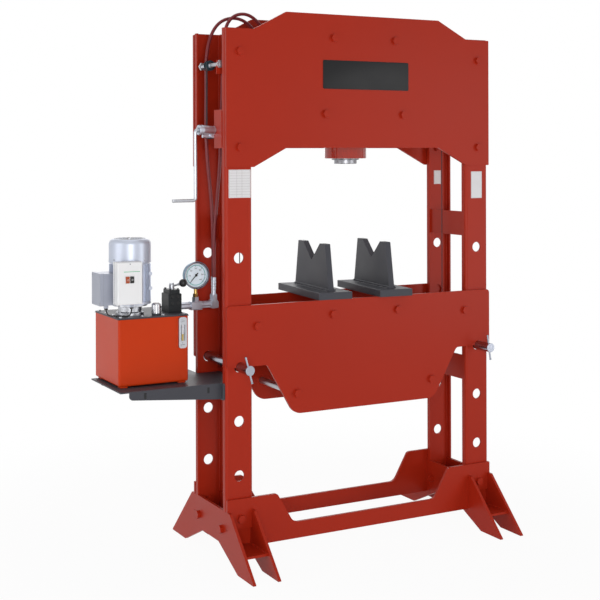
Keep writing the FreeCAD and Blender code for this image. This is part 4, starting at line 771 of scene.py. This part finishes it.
class PRESS_OT_welds(Step, bpy.types.Operator):
    """Weld beads on the feet, column ties, winch plate, shelf and V-blocks"""
    bl_idname = "press.welds"
    bl_label = "Welds"

    def build(self, context):
        ripple = context.scene.press_welds.ripple
        red = []
        for side in (-1, 1):
            for y0, y1 in ((-312, -176), (176, 312)):
                for x in (543.5, 636.5):
                    red.append(bead((side * x, y0, 84), (side * x, y1, 84), 3.2, ripple))
            for z0, z1 in ((646, 750), (1293, 1397)):
                for y in (-147, 147):
                    red.append(bead((side * 547, y, z0), (side * 547, y, z1), FILLET, ripple))
        red.append(bead((-650.5, -127.5, 1690), (-650.5, -127.5, 1836), FILLET, ripple))
        red.append(bead((-649.5, -149, 1688), (-649.5, -128, 1688), 2.0, ripple))
        fit(joined("frame_welds", red), "red")
        dark = [bead((-657.5, y, 674), (-657.5, y, 728), FILLET, ripple) for y in (-126.5, 225.5)]
        dark += [bead((-650.5, y, 674), (-650.5, y, 732), FILLET, ripple) for y in (-148, 127.3)]
        fit(joined("shelf_welds", dark), "dark")
        for name, x, y, turn in (("vee_block_left", -129, 52, -5), ("vee_block_right", 159, 24, -6)):
            lean = Matrix.Rotation(math.radians(turn), 3, "Z")
            beads = []
            for side in (-1, 1):
                ends = [Vector((x, y, 1082.3)) + lean @ Vector((side * 16.8, end, 0)) for end in (-178, 178)]
                beads.append(bead(*ends, 3.6, ripple * 1.3))
            fit(joined(name + "_welds", beads), "dark", "table")


# -------------------- plates and labels
PANEL = 0.8                 # thickness of a label panel
RULED_EDGE = 3.0            # from a panel's edge to its first ruled line


class PRESS_OT_plates(Step, bpy.types.Operator):
    """The bare name plate and the ruled, empty label panels"""
    bl_idname = "press.plates"
    bl_label = "Plates"

    def build(self, context):
        plate = block("name_plate_face", (-206, -171.5, 1932), (219, -169.5, 2053), corner=6)
        soften(plate, 0.5)
        fit(plate, "plate")
        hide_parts("name_plate")
        panels = (
            ("label_left", -WEB_Y - PANEL, (-635, -537), (1483, 1597), (-599, -576), 9),
            ("label_right", -WEB_Y - PANEL, (560.5, 619.5), (1459, 1579), (), 0),
            ("label_rear", 148.7, (570.5, 609.5), (1516, 1580), (), 0),
        )
        for name, front, (x0, x1), (z0, z1), columns, rows in panels:
            panel = block(name, (x0, front, z0), (x1, front + PANEL, z1), corner=1.5)
            soften(panel, 0.15, 1)
            fit(panel, "label")
            edge = RULED_EDGE
            lines = [block("line", (x - 0.5, front - 0.1, z0 + edge), (x + 0.5, front, z1 - edge))
                     for x in (x0 + edge, *columns, x1 - edge)]
            heights = [z0 + edge + k * (z1 - z0 - 2 * edge) / (rows + 1) for k in range(rows + 2)]
            lines += [block("line", (x0 + edge, front - 0.1, z - 0.4), (x1 - edge, front, z + 0.4))
                      for z in heights]
            fit(joined(name + "_rules", lines), "rule")


# -------------------- pressure gauge
GAUGE = (-695, 37.5, 1159)  # the middle of the dial's face
MINOR = 5                   # marks to a numbered step
NUMBER_RADIUS = 28
NUMBER_SIZE = 7.5


def dial_point(radius, angle):
    """A point on the dial's face, its angle clockwise from straight up."""
    x, y, z = GAUGE
    return x + radius * math.sin(angle), y, z + radius * math.cos(angle)


class PRESS_OT_gauge(Step, bpy.types.Operator):
    """The gauge's scale, numbers, bezel and hub"""
    bl_idname = "press.gauge"
    bl_label = "Pressure gauge"

    def build(self, context):
        settings = context.scene.press_dial
        x, y, z = GAUGE
        ring = turned("dial_scale_ring", [(39.5, 0), (42.5, 0), (42.5, 0.2), (39.5, 0.2), (39.5, 0)],
                      GAUGE, axis="-Y", sides=FINE)
        fit(ring, "dial_ring")
        marks = []
        for k in range(settings.steps * MINOR + 1):
            angle = settings.zero + settings.sweep * k / (settings.steps * MINOR)
            half, inner = (0.35, 38) if k % MINOR else (0.7, 35)
            mark = block("mark", (x - half, y - 0.25, z + inner), (x + half, y - 0.02, z + 43))
            marks.append(swung(mark, GAUGE, (0, angle, 0)))
        for k in range(settings.steps + 1):
            angle = settings.zero + settings.sweep * k / settings.steps
            bpy.ops.object.select_all(action="DESELECT")
            bpy.ops.object.text_add()
            number = newest("number")
            number.data.body = str(k * settings.step_value)
            number.data.size = NUMBER_SIZE * MM
            number.data.align_x = number.data.align_y = "CENTER"
            number.data.extrude = 0.1 * MM
            bpy.ops.object.convert(target="MESH")
            number = bpy.context.active_object
            number.rotation_euler = (math.pi / 2, 0, 0)
            number.location = place(*dial_point(NUMBER_RADIUS, angle)) - Vector((0, 0.15 * MM, 0))
            marks.append(settle(number))
        fit(joined("dial_marks", marks), "ink")
        boss = turned("needle_boss", [(5.2, 0), (5.6, 0.4), (5.6, 1.2), (4.6, 1.9), (1.2, 2.2)],
                      (x, y - 3.3, z), axis="-Y")
        fit(boss, "black", "needle")
        bezel = turned("gauge_bezel", [(49.8, 0), (50.6, 1.0), (53.4, 1.0), (54.6, 0), (54.6, -0.6),
                                       (49.8, -0.6), (49.8, 0)], (x, 26.1, z), axis="-Y", sides=FINE)
        fit(bezel, "chrome")
        screws = [cap_screw((x + dx, 59.4, z + dz), "Y", 3, 0.1)
                  for dx, dz in ((0, 38), (-33, -19), (33, -19))]
        fit(joined("gauge_back_screws", screws), "zinc")


# -------------------- motor and starter
MOTOR = (-975, 59.5)        # the motor's axis
GRILLE_Z = 1319.4
CABLE_GLANDS = (-1088, 26, 1041), (-1008, -48.5, 1049)


def round_motor(radius, count, first=0.5):
    """Places evenly round the motor's axis, with their turns."""
    for k in range(count):
        angle = (k + first) * 2 * math.pi / count
        yield MOTOR[0] + radius * math.cos(angle), MOTOR[1] + radius * math.sin(angle), angle


class PRESS_OT_motor(Step, bpy.types.Operator):
    """The fan cover's grille, its openings black for the dark fan and painted shade behind them, and rims,
    the terminal box's lid and the flange's screws
    """
    bl_idname = "press.motor"
    bl_label = "Motor"

    def build(self, context):
        x, y = MOTOR
        rim = turned("fan_cover_rim", [(84.3, 0), (85.6, 1.2), (85.6, 3.8), (84.3, 5), (84.3, 0)],
                     (x, y, 1226), sides=64)
        fit(rim, "motor")
        bars = []
        # black rings for the grille's openings: partly the dark fan behind them, partly painted shade inside
        # the cover
        for radius in range(14, 60, 9):
            outer = radius + 4.5
            bars.append(turned("bar", [(radius, 0), (radius, 1.0), (outer, 1.0), (outer, 0), (radius, 0)],
                               (x, y, GRILLE_Z), sides=48))
        fit(joined("fan_grille_openings_fan_and_shade", bars), "black")
        spokes = []
        for _, _, angle in round_motor(0, 8):
            spoke = block("spoke", (x + 12, y - 1.8, 1319.2), (x + 62, y + 1.8, 1321.2))
            spokes.append(swung(spoke, (x, y, 1319), (0, 0, angle)))
        fit(soften(joined("fan_grille_spokes", spokes), 0.4, 1), "motor")
        screws = []
        for _, _, angle in round_motor(0, 4, 0.25):
            screw = cap_screw((x + 83.2, y, 1238), "X", 3.2, 3.2)
            screws.append(swung(screw, (x, y, 1238), (0, 0, angle)))
        for sx, sy, _ in round_motor(63, 4):
            screws.append(cap_screw((sx, sy, 1057), "-Z", 4.5, 5.0))
        for sx, sy, _ in round_motor(52, 8):
            screws.append(cap_screw((sx, sy, 1023), "Z", 3.4, 4.0))
        for dy in (-42, 42):
            for z in (1067, 1179):
                screws.append(cap_screw((-1117.4, y + dy, z), "-X", 3.6, 0.6))
        fit(joined("motor_screws", screws), "zinc")
        seal = block("terminal_seal", (-1104.6, 8.9, 1059.4), (-1103.2, 110.1, 1186.6))
        fit(soften(seal, 0.3, 1), "black")
        glands = [turned("gland", [(5.0, 0), (7.6, 1), (7.6, 7), (5.0, 8), (5.0, 0)], base)
                  for base in CABLE_GLANDS]
        fit(joined("cable_gland_nuts", glands), "black")


STARTER_FRONT = -75
BUTTON_FACE = -80
BUTTON_Z = 1166.5


class PRESS_OT_starter(Step, bpy.types.Operator):
    """The starter box's frame, line, screw and button surround"""
    bl_idname = "press.starter"
    bl_label = "Starter"

    def build(self, context):
        front = STARTER_FRONT
        line = block("starter_line", (-1049, front - 0.25, 1197), (-982, front + 0.1, 1199.4))
        fit(soften(line, 0.1, 1), "green")
        screw = cap_screw((-1023, front + 0.1, 1228), "-Y", 3.0, 0.8)
        fit(screw, "zinc")
        seam = [block("seam", (x0, -37.2, z0), (x1, -36, z1))
                for x0, x1, z0, z1 in border(-1075.2, -970.8, 1067.8, 1236.2, 0.3)]
        fit(joined("starter_seam", seam), "black")
        ribs = [block("rib", (x0, front - 1.0, z0), (x1, front + 0.2, z1))
                for x0, x1, z0, z1 in border(-1044.5, -1005, 1150, 1183, 1.8)]
        fit(soften(joined("button_surround", ribs), 0.3, 1), "white")
        for name, x, body in (("stop", -1034, "stop_button"), ("start", -1015.5, "start_button")):
            mark = turned(name + "_mark", [(2.6, 0), (3.4, 0), (3.4, 0.25), (2.6, 0.25), (2.6, 0)],
                          (x, BUTTON_FACE, BUTTON_Z), axis="-Y", sides=SMALL)
            fit(mark, "label", body)


# -------------------- tank and valve
SIGHT = (-793.5, -55.5)     # the level gauge's axis
OIL_LEVEL = 0.935           # metres
FILLER = (-890, -12)
# places of the shelf's slots, where black blocks stand for the shade inside them: painted shade
SHELF_SLOT_SHADE_PLACES = ((-981, 715), (-712, 712))


class PRESS_OT_tank(Step, bpy.types.Operator):
    """The level gauge's filled tube, the filler's grip, the lid's gasket and black blocks painted as the
    shade in the shelf's slots
    """
    bl_idname = "press.tank"
    bl_label = "Tank"

    def build(self, context):
        x, y = SIGHT
        tube = turned("sight_tube_filled", [(3.0, 908), (3.9, 909), (3.9, 935), (3.9, 972), (3.0, 973)],
                      (x, y, 0))
        dress(tube, "float")
        tube.data.materials.append(MATERIALS["oil"])
        for face in tube.data.polygons:
            face.material_index = int(face.center.z < OIL_LEVEL)
        fit(tube)
        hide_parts("sight_tube")
        frame_bars = [block("bar", (x + dx - 1.2, -61.2, 906), (x + dx + 1.2, -59.2, 975))
                      for dx in (-9.2, 9.2)]
        fit(soften(joined("sight_frame", frame_bars), 0.4, 1), "zinc")
        # black slivers on the gauge's screw heads where their slots are: painted shade in the slots
        slots = [block("slot", (x - 6, -63.7, z - 0.8), (x + 6, -63.4, z + 0.8)) for z in (893, 988)]
        fit(joined("sight_screw_slot_shade", slots), "black")
        ridge = turned("ridge", [(18.2, 0), (19.0, 0.8), (19.0, 2.2), (18.2, 3.0), (18.2, 0)],
                       (*FILLER, 1024))
        grip = repeated("filler_grip", ridge, [(0, 0, 5 * k) for k in range(5)])
        fit(grip, "chrome", "breather_cap")
        top = turned("filler_top", [(13.5, 0), (13.5, 0.5), (12.5, 1.0), (2, 1.2)], (*FILLER, 1060.8))
        fit(top, "cap_top", "breather_cap")
        gasket = [block("strip", (x0, y0, 1006.6), (x1, y1, 1008.6))
                  for x0, x1, y0, y1 in border(-1063.4, -763.6, -48.9, 238.9, 1.3)]
        fit(soften(joined("lid_gasket", gasket), 0.3, 1), "black")
        # black blocks set in the shelf's slots: painted shade standing for the dark inside of each slot
        plugs = [block("plug", (px - 5, -126.6, pz - 12), (px + 5, -125.5, pz + 12), corner=3)
                 for px, pz in SHELF_SLOT_SHADE_PLACES]
        fit(joined("shelf_slot_shade", plugs), "black")


VALVE = (-826, -769, 14, 90)    # the valve block's ends in x and in y
LEVER_ROOT = (-800, 45, 1118)
KNOB = (-764, 10, 1133)


class PRESS_OT_valve(Step, bpy.types.Operator):
    """The selector valve's joints, cap screws and plugs, and the lever's nut and the knob's ferrule"""
    bl_idname = "press.valve"
    bl_label = "Valve"

    def build(self, context):
        x0, x1, y0, y1 = VALVE
        seams = [block("seam", (x0 - 0.6, y0 - 0.6, z), (x1 + 0.6, y1 + 0.6, z + 2.4)) for z in (1038, 1063)]
        fit(soften(joined("valve_rings", seams), 0.5, 1), "black_block")
        screws = [cap_screw((x, y, 1106), "Z", 4.6, 5.0)
                  for x in (x0 + 12, x1 - 12) for y in (y0 + 11, y1 - 11)]
        fit(joined("valve_screws", screws), "black")
        plugs = [turned("plug", [(7, 0), (7, 2.2), (6, 3), (3.2, 3), (3.2, 1.4), (0.5, 1.4)], (x, y0, z),
                        axis="-Y", sides=SMALL) for z in (1051, 1078) for x in (x0 + 16, x1 - 16)]
        fit(joined("valve_plugs", plugs), "black")
        nut = turned("lever_nut", [(7.6, 0), (9, 1), (9, 5.5), (7.6, 6.5), (3, 6.5)],
                     (*LEVER_ROOT[:2], 1126), sides=6, smooth=10)
        fit(nut, "zinc", "lever")
        knob = Vector(KNOB)
        along = (knob - Vector(LEVER_ROOT)).normalized()
        ring = turned("knob_ferrule", [(4.2, 0), (6.2, 0), (6.2, 6), (4.2, 6), (4.2, 0)], knob - along * 21,
                      axis=tuple(along), sides=SMALL)
        fit(ring, "zinc", "lever")


# -------------------- winch and pins
CRANK_AXIS = (-58, 1758)    # y and z
GRIP_Z = 1472
PIN_CAPS = (-247.5, 800)    # y and z of the bars through the pins' heads
BAR_REACH = 50.5            # from a bar's middle to its cap


class PRESS_OT_winch(Step, bpy.types.Operator):
    """The bands on the winch's hub, the crank's collar and grip end, and the caps of the pins' bars"""
    bl_idname = "press.winch"
    bl_label = "Winch and pins"

    def build(self, context):
        bands = [turned("band", [(r - 0.8, 0), (r + 0.7, 0.8), (r + 0.7, 2.4), (r - 0.8, 3.2), (r - 0.8, 0)],
                        (x, *CRANK_AXIS), axis="X") for r, x in ((20, -721), (20, -709), (15.6, -657))]
        fit(joined("winch_hub_bands", bands), "pipe")
        collar = turned("crank_collar", [(6.8, 0), (10.5, 1), (10.5, 5), (6.8, 6), (6.8, 0)],
                        (-731, *CRANK_AXIS), axis="X", sides=SMALL)
        fit(collar, "zinc", "crank")
        end = turned("crank_grip_end", [(6.0, 0), (7.4, 0.8), (7.4, 5), (6.4, 6.6), (1.5, 7.2)],
                     (-830, CRANK_AXIS[0], GRIP_Z), axis="-X", sides=SMALL)
        fit(end, "zinc", "crank")
        cap = [(4.0, 0), (5.0, 0.6), (5.0, 4.4), (3.8, 5.6), (1.0, 6.0)]
        for name, side, tilt in (("left", -1, 15.0), ("right", 1, 8.7)):
            centre = Vector((side * 590, *PIN_CAPS))
            lean = math.radians(tilt)
            caps = []
            for way in (-1, 1):
                arm = Vector((-math.sin(lean), 0, math.cos(lean))) * way
                caps.append(turned("cap", cap, centre + arm * BAR_REACH, axis=tuple(arm), sides=18))
            fit(joined("tommy_caps_" + name, caps), "pin", name + "_pin")


# -------------------- panel and registration
class PRESS_PT_panel(bpy.types.Panel):
    """Lists the press's pieces"""
    bl_label = "Workshop press"
    bl_idname = "PRESS_PT_panel"
    bl_space_type = "VIEW_3D"
    bl_region_type = "UI"
    bl_category = "Press"

    def draw(self, context):
        for operator in STEPS:
            self.layout.operator(operator.bl_idname)


STEPS = (
    PRESS_OT_stage, PRESS_OT_finishes, PRESS_OT_hoses, PRESS_OT_ferrules, PRESS_OT_cylinder,
    PRESS_OT_fasteners, PRESS_OT_welds, PRESS_OT_plates, PRESS_OT_gauge, PRESS_OT_motor, PRESS_OT_starter,
    PRESS_OT_tank, PRESS_OT_valve, PRESS_OT_winch,
)
SETTINGS = {
    "press_paint": PressPaintSettings,
    "press_hoses": PressHoseSettings,
    "press_dial": PressDialSettings,
    "press_welds": PressWeldSettings,
    "press_stage": PressStageSettings,
}


def register():
    for name, group in SETTINGS.items():
        bpy.utils.register_class(group)
        setattr(bpy.types.Scene, name, bpy.props.PointerProperty(type=group))
    for item in (*STEPS, PRESS_PT_panel):
        bpy.utils.register_class(item)


def unregister():
    for item in reversed((*STEPS, PRESS_PT_panel)):
        bpy.utils.unregister_class(item)
    for name, group in SETTINGS.items():
        delattr(bpy.types.Scene, name)
        bpy.utils.unregister_class(group)


def main():
    register()
    for step in STEPS:
        category, name = step.bl_idname.split(".")
        bpy.ops.object.select_all(action="DESELECT")
        getattr(getattr(bpy.ops, category), name)()


if __name__ == "__main__":
    main()
